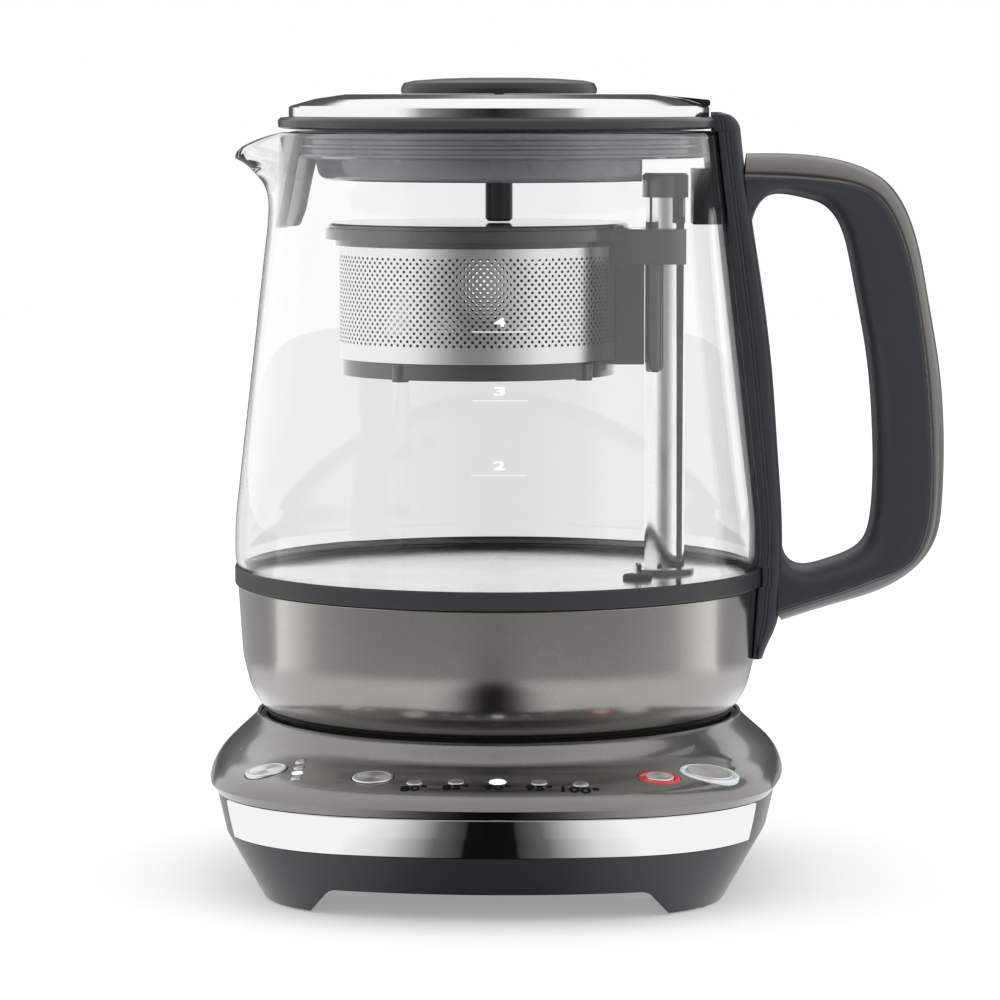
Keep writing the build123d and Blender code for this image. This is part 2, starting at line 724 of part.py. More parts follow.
def cone_radius(height):
    """Outer radius of the glass at a height above its waist."""
    share = (height - WAIST_Z) / (MOUTH_Z - WAIST_Z)
    return SHOULDER_RADIUS + (MOUTH_RADIUS - SHOULDER_RADIUS) * share


def spout_form(inset):
    """Solid inside the spout's outer surface."""
    with BuildPart(mode=Mode.PRIVATE) as form:
        circles = []
        for height, reach, radius in SPOUT_RINGS:
            with BuildSketch(Plane.XY.offset(height)) as level:
                with Locations((radius - reach, 0)):
                    Circle(radius - inset)
            circles.append(level.sketch)
        loft(circles)
    return form.part


def crosswise(height, x):
    """Plane at the handle's side of the jug, facing away from the axis."""
    return Plane((x, 0, height), x_dir=(0, 1, 0), z_dir=(1, 0, 0))


cover_screws = [
    (
        COVER_SCREW_AT * math.cos(2 * math.pi * count / COVER_SCREWS + math.pi / 3),
        COVER_SCREW_AT * math.sin(2 * math.pi * count / COVER_SCREWS + math.pi / 3),
    )
    for count in range(COVER_SCREWS)
]
cover_top_z = SLEEVE_FOOT_Z - SEAT
cover_seat_z = COVER_Z + SCREW_HEAD_HEIGHT + 0.4
plate_top_z = PLATE_Z + PLATE_THICK
shaft_at = (SHAFT_X, 0)

with BuildPart() as jug_body:
    add(sleeve_form(0))
    add(sleeve_form(SLEEVE_WALL), mode=Mode.SUBTRACT)
    lip_radius = SLEEVE_FOOT_RADIUS - SLEEVE_WALL / 2
    lip_top_z = SLEEVE_FOOT_Z + SLEEVE_LIP
    add(ring((0, 0), lip_radius, COVER_RING_RADIUS + 1, SLEEVE_FOOT_Z, lip_top_z))
    for place in cover_screws:
        add(rod(place, pilot_radius, SLEEVE_FOOT_Z - 1, lip_top_z + 1), mode=Mode.SUBTRACT)
    for height, _ in LOWER_SCREWS:
        add(stud(crosswise(height, 0), pilot_radius, SLEEVE_FOOT_RADIUS, 90), mode=Mode.SUBTRACT)
save(jug_body.part, "jug_body")

with BuildPart() as jug_base_cover:
    add(
        turned(
            (CONNECTOR_RADIUS + SLIP, COVER_Z),
            (COVER_FLOOR_RADIUS, COVER_Z),
            (COVER_EDGE_RADIUS, COVER_Z + COVER_FLOOR),
            (COVER_RADIUS, cover_top_z),
            (COVER_RING_RADIUS, cover_top_z),
            (COVER_RING_RADIUS - 2, COVER_Z + COVER_FLOOR),
            (CONNECTOR_RADIUS + SLIP, COVER_Z + COVER_FLOOR),
        )
    )
    for place in cover_screws:
        add(rod(place, pilot_radius, COVER_Z, SLEEVE_FOOT_Z), mode=Mode.SUBTRACT)
        add(rod(place, SCREW_HEAD_RADIUS + SLIP, COVER_Z, cover_seat_z), mode=Mode.SUBTRACT)
save(jug_base_cover.part, "jug_base_cover")

with BuildPart() as cover_screw_set:
    for x, y in cover_screws:
        add(screw(Plane((x, y, cover_seat_z - SEAT)), SCREW_LENGTH))
save(cover_screw_set.part, "jug_screws")

with BuildPart() as jug_connector:
    add(rod((0, 0), CONNECTOR_RADIUS, CONNECTOR_Z, CONNECTOR_TOP_Z))
    collar_top = CONNECTOR_COLLAR_Z + CONNECTOR_COLLAR_THICK
    add(rod((0, 0), CONNECTOR_COLLAR, CONNECTOR_COLLAR_Z, collar_top))
    bore_radius = POST_RADIUS + SLIP
    add(rod((0, 0), bore_radius, CONNECTOR_Z, POST_TOP_Z + 2 * SLIP), mode=Mode.SUBTRACT)
save(jug_connector.part, "jug_connector")

with BuildPart() as collar_ring:
    bore = COLLAR_RADIUS - COLLAR_WALL
    add(ring((0, 0), COLLAR_RADIUS, LEDGE_RADIUS, COLLAR_BOTTOM_Z, LEDGE_Z))
    add(ring((0, 0), COLLAR_RADIUS, bore, LEDGE_Z, COLLAR_TOP_Z))
save(collar_ring.part, "collar_ring")

# --- heater -------------------------------------------------------------------------------------
with BuildPart() as heater_plate:
    add(rod((0, 0), PLATE_RADIUS, PLATE_Z, plate_top_z))
    add(rod(shaft_at, SPINDLE_RADIUS + SLIP, PLATE_Z, plate_top_z), mode=Mode.SUBTRACT)
    add(rod(PROBE_AT, PROBE_RADIUS + SEAT, PLATE_Z, plate_top_z), mode=Mode.SUBTRACT)
save(heater_plate.part, "heater_plate")

with BuildPart() as glass_seal:
    seal_top_z = FOOT_Z - SEAT
    add(ring((0, 0), FOOT_RADIUS, FOOT_RADIUS - SEAL_WIDTH, plate_top_z + SEAT, seal_top_z))
save(glass_seal.part, "glass_seal")

with BuildPart() as heating_element:
    element_top_z = PLATE_Z - SEAT
    element_low_z = element_top_z - ELEMENT_SIDE
    with BuildSketch(Plane.XZ):
        with Locations((ELEMENT_RADIUS, (element_top_z + element_low_z) / 2)):
            Rectangle(ELEMENT_SIDE, ELEMENT_SIDE)
    revolve(axis=Axis.Z, revolution_arc=ELEMENT_ARC)
    for angle in (6, ELEMENT_ARC - 6):
        end_x = ELEMENT_RADIUS * math.cos(math.radians(angle))
        end_y = ELEMENT_RADIUS * math.sin(math.radians(angle))
        terminal_z = element_low_z - TERMINAL_LENGTH
        add(rod((end_x, end_y), TERMINAL_RADIUS, terminal_z, element_low_z + 1))
save(heating_element.part, "heating_element")

with BuildPart() as thermal_cutout:
    under_plate_z = PLATE_Z - SEAT
    add(rod((0, 0), CUTOUT_RADIUS, under_plate_z - CUTOUT_HEIGHT, under_plate_z))
    add(rod((0, 0), CUTOUT_RADIUS / 3, under_plate_z - CUTOUT_HEIGHT - 2, under_plate_z))
save(thermal_cutout.part, "thermal_cutout")

# --- glass --------------------------------------------------------------------------------------
with BuildPart() as jug_glass:
    add(glass_form(0))
    add(spout_form(0))
    add(glass_form(GLASS_WALL), mode=Mode.SUBTRACT)
    add(spout_form(GLASS_WALL), mode=Mode.SUBTRACT)
    with BuildSketch(Plane.XZ):
        with BuildLine():
            slope = (SPOUT_ROOT[1] - SPOUT_TIP[1]) / (SPOUT_ROOT[0] - SPOUT_TIP[0])
            far = (2 * SPOUT_TIP[0], SPOUT_TIP[1] + slope * SPOUT_TIP[0])
            Polyline(
                SPOUT_ROOT,
                far,
                (far[0], MOUTH_Z + 20),
                (RIM_HALF, MOUTH_Z + 20),
                (RIM_HALF, MOUTH_Z),
                close=True,
            )
        make_face()
    extrude(amount=RIM_HALF, both=True, mode=Mode.SUBTRACT)
    for height, _ in UPPER_SCREWS:
        add(stud(crosswise(height, 0), pilot_radius, BRACKET_X, 90), mode=Mode.SUBTRACT)
save(jug_glass.part, "jug_glass")

inner_wall = GLASS_WALL + SEAT + 0.05

with BuildPart() as spout_guard:
    low = cone_radius(GUARD_BOTTOM_Z) - inner_wall
    high = cone_radius(GUARD_TOP_Z) - inner_wall
    add(
        turned(
            (low - GUARD_WALL, GUARD_BOTTOM_Z),
            (low, GUARD_BOTTOM_Z),
            (high, GUARD_TOP_Z),
            (high - GUARD_WALL, GUARD_TOP_Z),
        )
    )
    with BuildSketch(Plane.YZ):
        with BuildLine():
            Polyline(
                (-GUARD_BOTTOM_HALF, GUARD_BOTTOM_Z),
                (GUARD_BOTTOM_HALF, GUARD_BOTTOM_Z),
                (GUARD_TOP_HALF, GUARD_TOP_Z),
                (-GUARD_TOP_HALF, GUARD_TOP_Z),
                close=True,
            )
        make_face()
    extrude(amount=-COLLAR_RADIUS, mode=Mode.INTERSECT)
save(spout_guard.part, "spout_guard")


def glass_inside(inset):
    """Solid cone inside the glass wall over the height of the handle's bracket."""
    low = cone_radius(BRACKET_Z) - inner_wall - inset
    high = cone_radius(BRACKET_TOP_Z) - inner_wall - inset
    return turned((0, BRACKET_Z), (low, BRACKET_Z), (high, BRACKET_TOP_Z), (0, BRACKET_TOP_Z))


with BuildPart() as handle_bracket:
    add(block(BRACKET_X, COLLAR_RADIUS, BRACKET_HALF, BRACKET_Z, BRACKET_TOP_Z) & glass_inside(0))
    upper = block(0, COLLAR_RADIUS, 2 * BRACKET_HALF, BRACKET_STEP_Z, BRACKET_TOP_Z)
    add(upper & glass_inside(BRACKET_TOP_WALL), mode=Mode.SUBTRACT)
    for height, seat_x in UPPER_SCREWS:
        add(stud(crosswise(height, 0), pilot_radius, BRACKET_X, 90), mode=Mode.SUBTRACT)
        head_hole = stud(crosswise(height, 0), SCREW_HEAD_RADIUS + SEAT, BRACKET_X - 1, seat_x)
        add(head_hole, mode=Mode.SUBTRACT)
save(handle_bracket.part, "handle_bracket")

# --- basket shaft and sensor --------------------------------------------------------------------
with BuildPart() as basket_shaft:
    add(rod(shaft_at, SHAFT_RADIUS, plate_top_z + SEAT, SHAFT_TOP_Z))
    bore = SHAFT_RADIUS - SHAFT_WALL
    add(rod(shaft_at, bore, plate_top_z, SHAFT_TOP_Z - SHAFT_WALL), mode=Mode.SUBTRACT)
save(basket_shaft.part, "basket_shaft")

with BuildPart() as shaft_cap:
    add(rod(shaft_at, SHAFT_CAP_RADIUS, SHAFT_CAP_Z, SHAFT_CAP_TOP_Z))
    chamfer(shaft_cap.edges().group_by(Axis.Z)[-1], SHAFT_CAP_EDGE)
    add(rod(shaft_at, SHAFT_RADIUS + SEAT, SHAFT_CAP_Z, SHAFT_TOP_Z + SEAT), mode=Mode.SUBTRACT)
save(shaft_cap.part, "shaft_cap")

with BuildPart() as shaft_seal:
    seal_z = plate_top_z + SEAT
    add(rod(shaft_at, SHAFT_SEAL_RADIUS, seal_z, seal_z + SHAFT_SEAL_HEIGHT))
    chamfer(shaft_seal.edges().group_by(Axis.Z)[-1], 0.5)
    add(rod(shaft_at, SHAFT_RADIUS + SEAT, seal_z, seal_z + 5), mode=Mode.SUBTRACT)
save(shaft_seal.part, "shaft_seal")

with BuildPart() as drive_spindle:
    add(rod(shaft_at, SPINDLE_RADIUS, PLATE_Z - SEAT, SPINDLE_TOP_Z))
save(drive_spindle.part, "drive_spindle")

with BuildPart() as drive_motor:
    motor_top_z = PLATE_Z - 2 * SEAT
    add(rod(shaft_at, MOTOR_RADIUS, motor_top_z - MOTOR_HEIGHT, motor_top_z))
    chamfer(drive_motor.edges().group_by(Axis.Z)[0], 1.5)
save(drive_motor.part, "drive_motor")

with BuildPart() as drive_magnet:
    magnet_radius = SHAFT_RADIUS - SHAFT_WALL - SLIP
    magnet_z = (CLIP_Z + CLIP_TOP_Z - MAGNET_LENGTH) / 2
    bore = SPINDLE_RADIUS + SLIP
    add(ring(shaft_at, magnet_radius, bore, magnet_z, magnet_z + MAGNET_LENGTH))
save(drive_magnet.part, "drive_magnet")

with BuildPart() as sensor_probe:
    add(rod(PROBE_AT, PROBE_RADIUS, PLATE_Z - 3, plate_top_z + PROBE_HEIGHT))
    chamfer(sensor_probe.edges().group_by(Axis.Z)[-1], PROBE_RADIUS / 2)
save(sensor_probe.part, "sensor_probe")

with BuildPart() as sensor_gasket:
    gasket_z = plate_top_z + SEAT
    add(rod(PROBE_AT, GASKET_RADIUS, gasket_z, gasket_z + GASKET_HEIGHT))
    chamfer(sensor_gasket.edges().group_by(Axis.Z)[-1], 0.5)
    add(rod(PROBE_AT, PROBE_RADIUS + SEAT, gasket_z, gasket_z + 5), mode=Mode.SUBTRACT)
save(sensor_gasket.part, "sensor_gasket")


# --- handle -------------------------------------------------------------------------------------
def spine_block(gap):
    """Everything on the jug's side of the spine's back, pushed out by gap."""
    backs = [(x + gap, z) for x, z in SPINE_BACK]
    low_z = 2 * backs[-1][1] - backs[-2][1]
    low_x = 2 * backs[-1][0] - backs[-2][0]
    with BuildPart(mode=Mode.PRIVATE) as form:
        with BuildSketch(Plane.XZ):
            with BuildLine():
                Polyline((0, SPINE_TOP_Z), (backs[0][0] - 1, SPINE_TOP_Z), *backs, (low_x, low_z))
                Polyline((low_x, low_z), (0, low_z), (0, SPINE_TOP_Z))
            make_face()
        extrude(amount=2 * SPINE_HALF, both=True)
    return form.part


def loop_form(edge, half_width):
    """Solid inside an outer edge of the handle's loop."""
    with BuildPart(mode=Mode.PRIVATE) as form:
        with BuildSketch(Plane.XZ):
            with BuildLine():
                Spline(*edge)
                Polyline(edge[-1], (MOUTH_RADIUS, edge[-1][1]), (MOUTH_RADIUS, edge[0][1]), edge[0])
            make_face()
        extrude(amount=half_width, both=True)
    return form.part


def finger_form():
    """Opening for the fingers."""
    with BuildPart(mode=Mode.PRIVATE) as form:
        with BuildSketch(Plane.XZ):
            with BuildLine():
                Spline(*FINGER_EDGE)
                Polyline(FINGER_EDGE[-1], *FINGER_BACK, FINGER_EDGE[0])
            make_face()
        extrude(amount=2 * SPINE_HALF, both=True)
    return form.part


with BuildPart() as handle_spine:
    with BuildSketch(Plane.XZ) as profile:
        with BuildLine():
            Polyline(
                (SPINE_FACE_X, SPINE_TOP_Z),
                (SPINE_BACK[0][0] - 1.2, SPINE_TOP_Z),
                *SPINE_BACK,
                (SPINE_FACE_X, SPINE_FOOT_Z),
                close=True,
            )
        make_face()
        fillet(profile.vertices().group_by(Axis.Y)[-1].sort_by(Axis.X)[-1], SPINE_TOP_ROUND)
    extrude(amount=SPINE_HALF, both=True)
    add(glass_form(-SEAT), mode=Mode.SUBTRACT)
    add(sleeve_form(-SEAT), mode=Mode.SUBTRACT)
    collar_radius = COLLAR_RADIUS + SEAT
    add(rod((0, 0), collar_radius, COLLAR_BOTTOM_Z - 2 * SEAT, COLLAR_TOP_Z + SEAT), mode=Mode.SUBTRACT)
    for height, _ in UPPER_SCREWS + LOWER_SCREWS:
        add(stud(crosswise(height, 0), pilot_radius, BRACKET_X, 78), mode=Mode.SUBTRACT)
save(handle_spine.part, "handle_spine")

with BuildPart() as handle_grip:
    add(loop_form(TRIM_EDGE, GRIP_HALF))
    add(finger_form(), mode=Mode.SUBTRACT)
    add(spine_block(SEAT), mode=Mode.SUBTRACT)
save(handle_grip.part, "handle_grip")

with BuildPart() as handle_trim:
    add(loop_form(OUTER_EDGE, GRIP_HALF))
    add(loop_form(TRIM_EDGE, 2 * GRIP_HALF), mode=Mode.SUBTRACT)
    add(spine_block(SEAT), mode=Mode.SUBTRACT)
save(handle_trim.part, "handle_trim")

with BuildPart() as handle_screws:
    for height, seat_x in UPPER_SCREWS:
        add(screw(crosswise(height, seat_x - SEAT), UPPER_SCREW_LENGTH))
    for height, seat_x in LOWER_SCREWS:
        add(screw(crosswise(height, seat_x - SEAT), LOWER_SCREW_LENGTH))
save(handle_screws.part, "handle_screws")


# --- lid ----------------------------------------------------------------------------------------
def cap_form(inset):
    """Solid inside the lid cap's outer surface."""
    foot_z = FLANGE_Z + FLANGE_FLOOR + SEAT
    with BuildPart(mode=Mode.PRIVATE) as form:
        with BuildSketch(Plane.XZ):
            with BuildLine():
                edge = (CAP_RADIUS - inset, CAP_EDGE_Z - inset / 2)
                bend = (CAP_BEND_RADIUS - inset / 3, CAP_BEND_Z - inset)
                shoulder = (CAP_SHOULDER_RADIUS, CAP_SHOULDER_Z - inset)
                ThreePointArc(edge, bend, shoulder)
                Polyline(shoulder, (0, CAP_CROWN_Z - inset), (0, foot_z), (edge[0], foot_z), edge)
            make_face()
        revolve(axis=Axis.Z)
    return form.part


def skirt_form(inset):
    """Solid inside the lid plug's outer surface."""
    top_z = FLANGE_Z - SEAT
    with BuildPart(mode=Mode.PRIVATE) as form:
        with BuildSketch(Plane.XZ) as profile:
            with BuildLine():
                Polyline(
                    (0, top_z),
                    (SKIRT_RADIUS - inset, top_z),
                    (SKIRT_RADIUS - inset, SKIRT_STEP_Z + inset / 2),
                    (SKIRT_FOOT_RADIUS - inset / 2, SKIRT_FOOT_Z + inset),
                    (0, SKIRT_FOOT_Z + inset),
                    close=True,
                )
            make_face()
            corner = profile.vertices().sort_by_distance((SKIRT_FOOT_RADIUS, SKIRT_FOOT_Z, 0))[0]
            fillet(corner, SKIRT_ROUND)
        revolve(axis=Axis.Z)
    return form.part


def notch(gap):
    """Space for the head of the basket shaft in the lid's plug, widened by gap."""
    low_z = SKIRT_FOOT_Z - 5
    return block(SKIRT_NOTCH_X - gap, 70, SKIRT_NOTCH_HALF + gap, low_z, SKIRT_NOTCH_Z + gap)


with BuildPart() as lid_cap:
    add(cap_form(0))
    add(cap_form(CAP_SHEET), mode=Mode.SUBTRACT)
    add(rod((0, 0), pilot_radius, CAP_EDGE_Z, KNOB_TOP_Z), mode=Mode.SUBTRACT)
save(lid_cap.part, "lid_cap")

with BuildPart() as lid_flange:
    floor_top = FLANGE_Z + FLANGE_FLOOR
    add(
        turned(
            (0, FLANGE_Z),
            (FLANGE_SEAT_RADIUS, FLANGE_Z),
            (FLANGE_RADIUS, FLANGE_Z + 1.3),
            (FLANGE_RADIUS, FLANGE_TOP_Z - 0.7),
            (FLANGE_RADIUS - 0.7, FLANGE_TOP_Z),
            (CAP_RADIUS + SEAT, FLANGE_TOP_Z),
            (CAP_RADIUS + SEAT, floor_top),
            (0, floor_top),
        )
    )
    handle_gap = block(SPINE_FACE_X - SLIP, 70, SPINE_HALF + SLIP, FLANGE_Z, FLANGE_TOP_Z)
    add(handle_gap, mode=Mode.SUBTRACT)
save(lid_flange.part, "lid_flange")

with BuildPart() as lid_skirt:
    add(skirt_form(0))
    add(skirt_form(SKIRT_WALL) - notch(SKIRT_WALL), mode=Mode.SUBTRACT)
    add(block(0, SKIRT_RADIUS, SKIRT_RADIUS, FLANGE_Z - SEAT, FLANGE_Z), mode=Mode.SUBTRACT)
    add(notch(0), mode=Mode.SUBTRACT)
save(lid_skirt.part, "lid_skirt")

with BuildPart() as lid_seal:
    seal_in = SKIRT_RADIUS + SEAT
    seal_out = seal_in + SEAL_WALL
    seal_top = FLANGE_Z - SEAT
    add(ring((0, 0), seal_out, seal_in, SEAL_Z, seal_top))
    for count in range(SEAL_RIBS):
        rib_z = SEAL_Z + SEAL_RIB_PITCH * count
        add(
            turned(
                (seal_out - 0.2, rib_z),
                (seal_out + SEAL_RIB, rib_z + 0.6),
                (seal_out + SEAL_RIB, rib_z + 1.2),
                (seal_out - 0.2, rib_z + 1.6),
            )
        )
save(lid_seal.part, "lid_seal")

with BuildPart() as lid_knob:
    knob_z = CAP_CROWN_Z + SEAT
    with BuildSketch(Plane.XZ):
        with BuildLine():
            Polyline(
                (0, KNOB_TOP_Z),
                (0, knob_z),
                (KNOB_RADIUS - KNOB_UNDERCUT, knob_z),
                (KNOB_RADIUS, knob_z + KNOB_UNDERCUT),
                (KNOB_RIM_RADIUS, KNOB_RIM_Z),
            )
            TangentArc((0, KNOB_TOP_Z), (KNOB_RIM_RADIUS, KNOB_RIM_Z), tangent=(1, 0))
        make_face()
    revolve(axis=Axis.Z)
    add(rod((0, 0), pilot_radius, CAP_CROWN_Z, knob_z + 2.5), mode=Mode.SUBTRACT)
save(lid_knob.part, "lid_knob")

with BuildPart() as knob_screw:
    add(screw(Plane((0, 0, CAP_CROWN_Z - CAP_SHEET - SEAT)), KNOB_SCREW_LENGTH))
save(knob_screw.part, "knob_screw")

with BuildPart() as lid_stem:
    stem_z = RIM_RING_TOP_Z + SEAT + BASKET_LID_THICK + SLIP
    add(rod((0, 0), LID_STEM_RADIUS, stem_z, SKIRT_FOOT_Z - SEAT))
    chamfer(lid_stem.edges().group_by(Axis.Z)[0], 0.8)
save(lid_stem.part, "lid_stem")


def tab_slab(low_x, high_x, half_width, thick):
    """Piece of the thumb tab between two X places, on the tab's sloping top."""
    slope = (TAB_END_Z - CAP_SHOULDER_Z) / (TAB_END_X - TAB_ROOT_X)
    low_z = CAP_SHOULDER_Z + slope * (low_x - TAB_ROOT_X)
    high_z = CAP_SHOULDER_Z + slope * (high_x - TAB_ROOT_X)
    with BuildPart(mode=Mode.PRIVATE) as slab:
        with BuildSketch(Plane.XZ):
            with BuildLine():
                Polyline(
                    (low_x, low_z),
                    (high_x, high_z),
                    (high_x, high_z - thick),
                    (low_x, low_z - thick),
                    close=True,
                )
            make_face()
        extrude(amount=half_width, both=True)
    return slab.part


with BuildPart() as lid_tab:
    add(tab_slab(TAB_ROOT_X, TAB_END_X, TAB_HALF, TAB_THICK))
    fillet(lid_tab.edges().filter_by(Axis.Y).sort_by(Axis.X)[-2:], 0.3)
    add(cap_form(-SEAT), mode=Mode.SUBTRACT)
save(lid_tab.part, "lid_tab")

with BuildPart() as lid_tab_tip:
    add(tab_slab(TAB_END_X + SEAT, TAB_TIP_X, TAB_HALF, TAB_THICK))
    fillet(lid_tab_tip.edges().filter_by(Axis.Y).sort_by(Axis.X)[-2:], 0.6)
    add(cap_form(-SEAT), mode=Mode.SUBTRACT)
save(lid_tab_tip.part, "lid_tab_tip")

# --- basket -------------------------------------------------------------------------------------
basket_at = (BASKET_X, 0)
wall_bore = BASKET_RADIUS - BASKET_SHEET
spigot_radius = wall_bore - SEAT
clip_bore = SHAFT_RADIUS + CLIP_GAP

with BuildPart() as basket_frame:
    add(ring(basket_at, RIM_RING_RADIUS, RING_BORE, RIM_RING_Z, RIM_RING_TOP_Z))
    add(ring(basket_at, NECK_RADIUS, RING_BORE, NECK_Z, RIM_RING_Z))
    add(ring(basket_at, spigot_radius, RING_BORE, NECK_Z - SPIGOT, NECK_Z))
    add(ring(basket_at, LOW_RING_RADIUS, LOW_RING_BORE, LOW_RING_Z, LOW_RING_TOP_Z))
    add(ring(basket_at, spigot_radius, RING_BORE, LOW_RING_TOP_Z, LOW_RING_TOP_Z + SPIGOT))
    floor_seat_z = LOW_RING_TOP_Z - BASKET_SHEET - SEAT
    add(rod(basket_at, RING_BORE, floor_seat_z, LOW_RING_TOP_Z), mode=Mode.SUBTRACT)
    for angle in BASKET_FOOT_ANGLES:
        foot_ring = (LOW_RING_RADIUS + LOW_RING_BORE) / 2
        foot_x = BASKET_X + foot_ring * math.cos(math.radians(angle))
        foot_y = foot_ring * math.sin(math.radians(angle))
        foot_z = LOW_RING_Z - BASKET_FOOT_HEIGHT
        add(rod((foot_x, foot_y), BASKET_FOOT_RADIUS, foot_z, floor_seat_z))
    with BuildPart(mode=Mode.PRIVATE) as carrier:
        add(block(BASKET_X, CHANNEL_REACH_X, CHANNEL_HALF, LOW_RING_TOP_Z - 1.7, CLIP_TOP_Z))
        add(rod(shaft_at, CLIP_RADIUS, CLIP_Z, CLIP_TOP_Z))
        add(block(BASKET_X, SHAFT_X, CLIP_RADIUS, CLIP_Z, CLIP_TOP_Z))
        add(block(CLIP_REACH_X, 2 * SHAFT_X, 2 * CLIP_RADIUS, CLIP_Z, CLIP_TOP_Z), mode=Mode.SUBTRACT)
        add(rod(SLIDE_PIN_AT, SLIDE_PIN_RADIUS, SLIDE_PIN_Z, CLIP_Z + 1))
        chamfer(carrier.edges().group_by(Axis.Z)[0], SLIDE_PIN_RADIUS / 2)
        outside_wall = rod(basket_at, BASKET_RADIUS + SEAT, LOW_RING_TOP_Z, NECK_Z)
        add(outside_wall, mode=Mode.SUBTRACT)
        add(rod(basket_at, RING_BORE, SLIDE_PIN_Z, CLIP_TOP_Z), mode=Mode.SUBTRACT)
        add(rod(shaft_at, clip_bore, SLIDE_PIN_Z, CLIP_TOP_Z), mode=Mode.SUBTRACT)
    add(carrier.part)
save(basket_frame.part, "basket_frame")

with BuildPart() as basket_wall:
    add(ring(basket_at, BASKET_RADIUS, wall_bore, LOW_RING_TOP_Z + SEAT, NECK_Z - SEAT))
save(basket_wall.part, "basket_wall")

with BuildPart() as basket_floor:
    add(rod(basket_at, RING_BORE - SEAT, floor_seat_z + SEAT, floor_seat_z + SEAT + BASKET_SHEET))
save(basket_floor.part, "basket_floor")

with BuildPart() as basket_lid:
    lid_z = RIM_RING_TOP_Z + SEAT
    add(rod(basket_at, BASKET_LID_RADIUS, lid_z, lid_z + BASKET_LID_THICK))
    chamfer(basket_lid.edges().group_by(Axis.Z)[-1], 0.5)
    plug_radius = RING_BORE - SLIP
    add(ring(basket_at, plug_radius, plug_radius - 1.4, lid_z - 2, lid_z))
save(basket_lid.part, "basket_lid")
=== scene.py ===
"""Looks of an automatic tea maker: smooth surfaces, finishes, marks, floor, light and camera.

Every size is in millimetres in the frame of the solid model: the jug's axis is Z, the counter is
Z = 0, the controls face -Y, the spout points to -X and the handle to +X.
"""

import logging
import math
from dataclasses import dataclass
from enum import Enum
from typing import Callable, Iterable

import bpy
import numpy as np
from mathutils import Matrix, Vector
from mathutils.bvhtree import BVHTree

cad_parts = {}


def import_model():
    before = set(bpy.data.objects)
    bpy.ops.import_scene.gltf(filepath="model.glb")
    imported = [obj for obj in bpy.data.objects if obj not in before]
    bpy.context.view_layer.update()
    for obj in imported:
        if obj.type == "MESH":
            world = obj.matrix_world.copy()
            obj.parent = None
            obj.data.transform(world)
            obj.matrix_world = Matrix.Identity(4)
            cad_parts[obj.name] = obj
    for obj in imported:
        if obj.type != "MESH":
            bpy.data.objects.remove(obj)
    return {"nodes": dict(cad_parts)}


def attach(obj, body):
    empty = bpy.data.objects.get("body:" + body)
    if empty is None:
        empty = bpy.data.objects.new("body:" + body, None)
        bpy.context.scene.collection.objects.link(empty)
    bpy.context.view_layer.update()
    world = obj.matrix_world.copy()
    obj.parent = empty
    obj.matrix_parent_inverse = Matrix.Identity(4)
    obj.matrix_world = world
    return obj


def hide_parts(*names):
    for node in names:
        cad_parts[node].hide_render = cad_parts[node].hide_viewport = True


log = logging.getLogger("tea_maker")
Array = np.ndarray
Tree = bpy.types.NodeTree
Socket = bpy.types.NodeSocket
MM = 0.001
TURN = 2 * math.pi
LETTER_DEPTH = 0.01  # how far letters stand out, in the font's units
LETTER_WEIGHT = 0.028  # how much their strokes are thickened, likewise
LETTER_STEPS = 4  # points along each of their curves
WELD_REACH = 1e-6  # metres


# --- shapes as whole arrays -------------------------------------------------------------------
def spline_through(knots: Array, values: Array, at: Array) -> Array:
    """Natural cubic spline: second derivatives solve the usual three-term system.

    Args:
        knots: rising places of the known values, shape (n,).
        values: known values, shape (n, k).
        at: places to read, shape (m,).

    Returns:
        Values at those places, shape (m, k).
    """
    count = len(knots)
    step = np.diff(knots)
    system = np.eye(count)
    right = np.zeros_like(values, dtype=float)
    inner = np.arange(1, count - 1)
    system[inner, inner - 1] = step[:-1]
    system[inner, inner] = 2 * (step[:-1] + step[1:])
    system[inner, inner + 1] = step[1:]
    slope = np.diff(values, axis=0) / step[:, None]
    right[1:-1] = 6 * np.diff(slope, axis=0)
    bend = np.linalg.solve(system, right)
    place = np.clip(np.searchsorted(knots, at) - 1, 0, count - 2)
    before = (knots[place + 1] - at)[:, None]
    after = (at - knots[place])[:, None]
    width = step[place][:, None]
    straight = (values[place] * before + values[place + 1] * after) / width
    curve = bend[place] * (before**3 / width - width * before)
    curve += bend[place + 1] * (after**3 / width - width * after)
    return straight + curve / 6


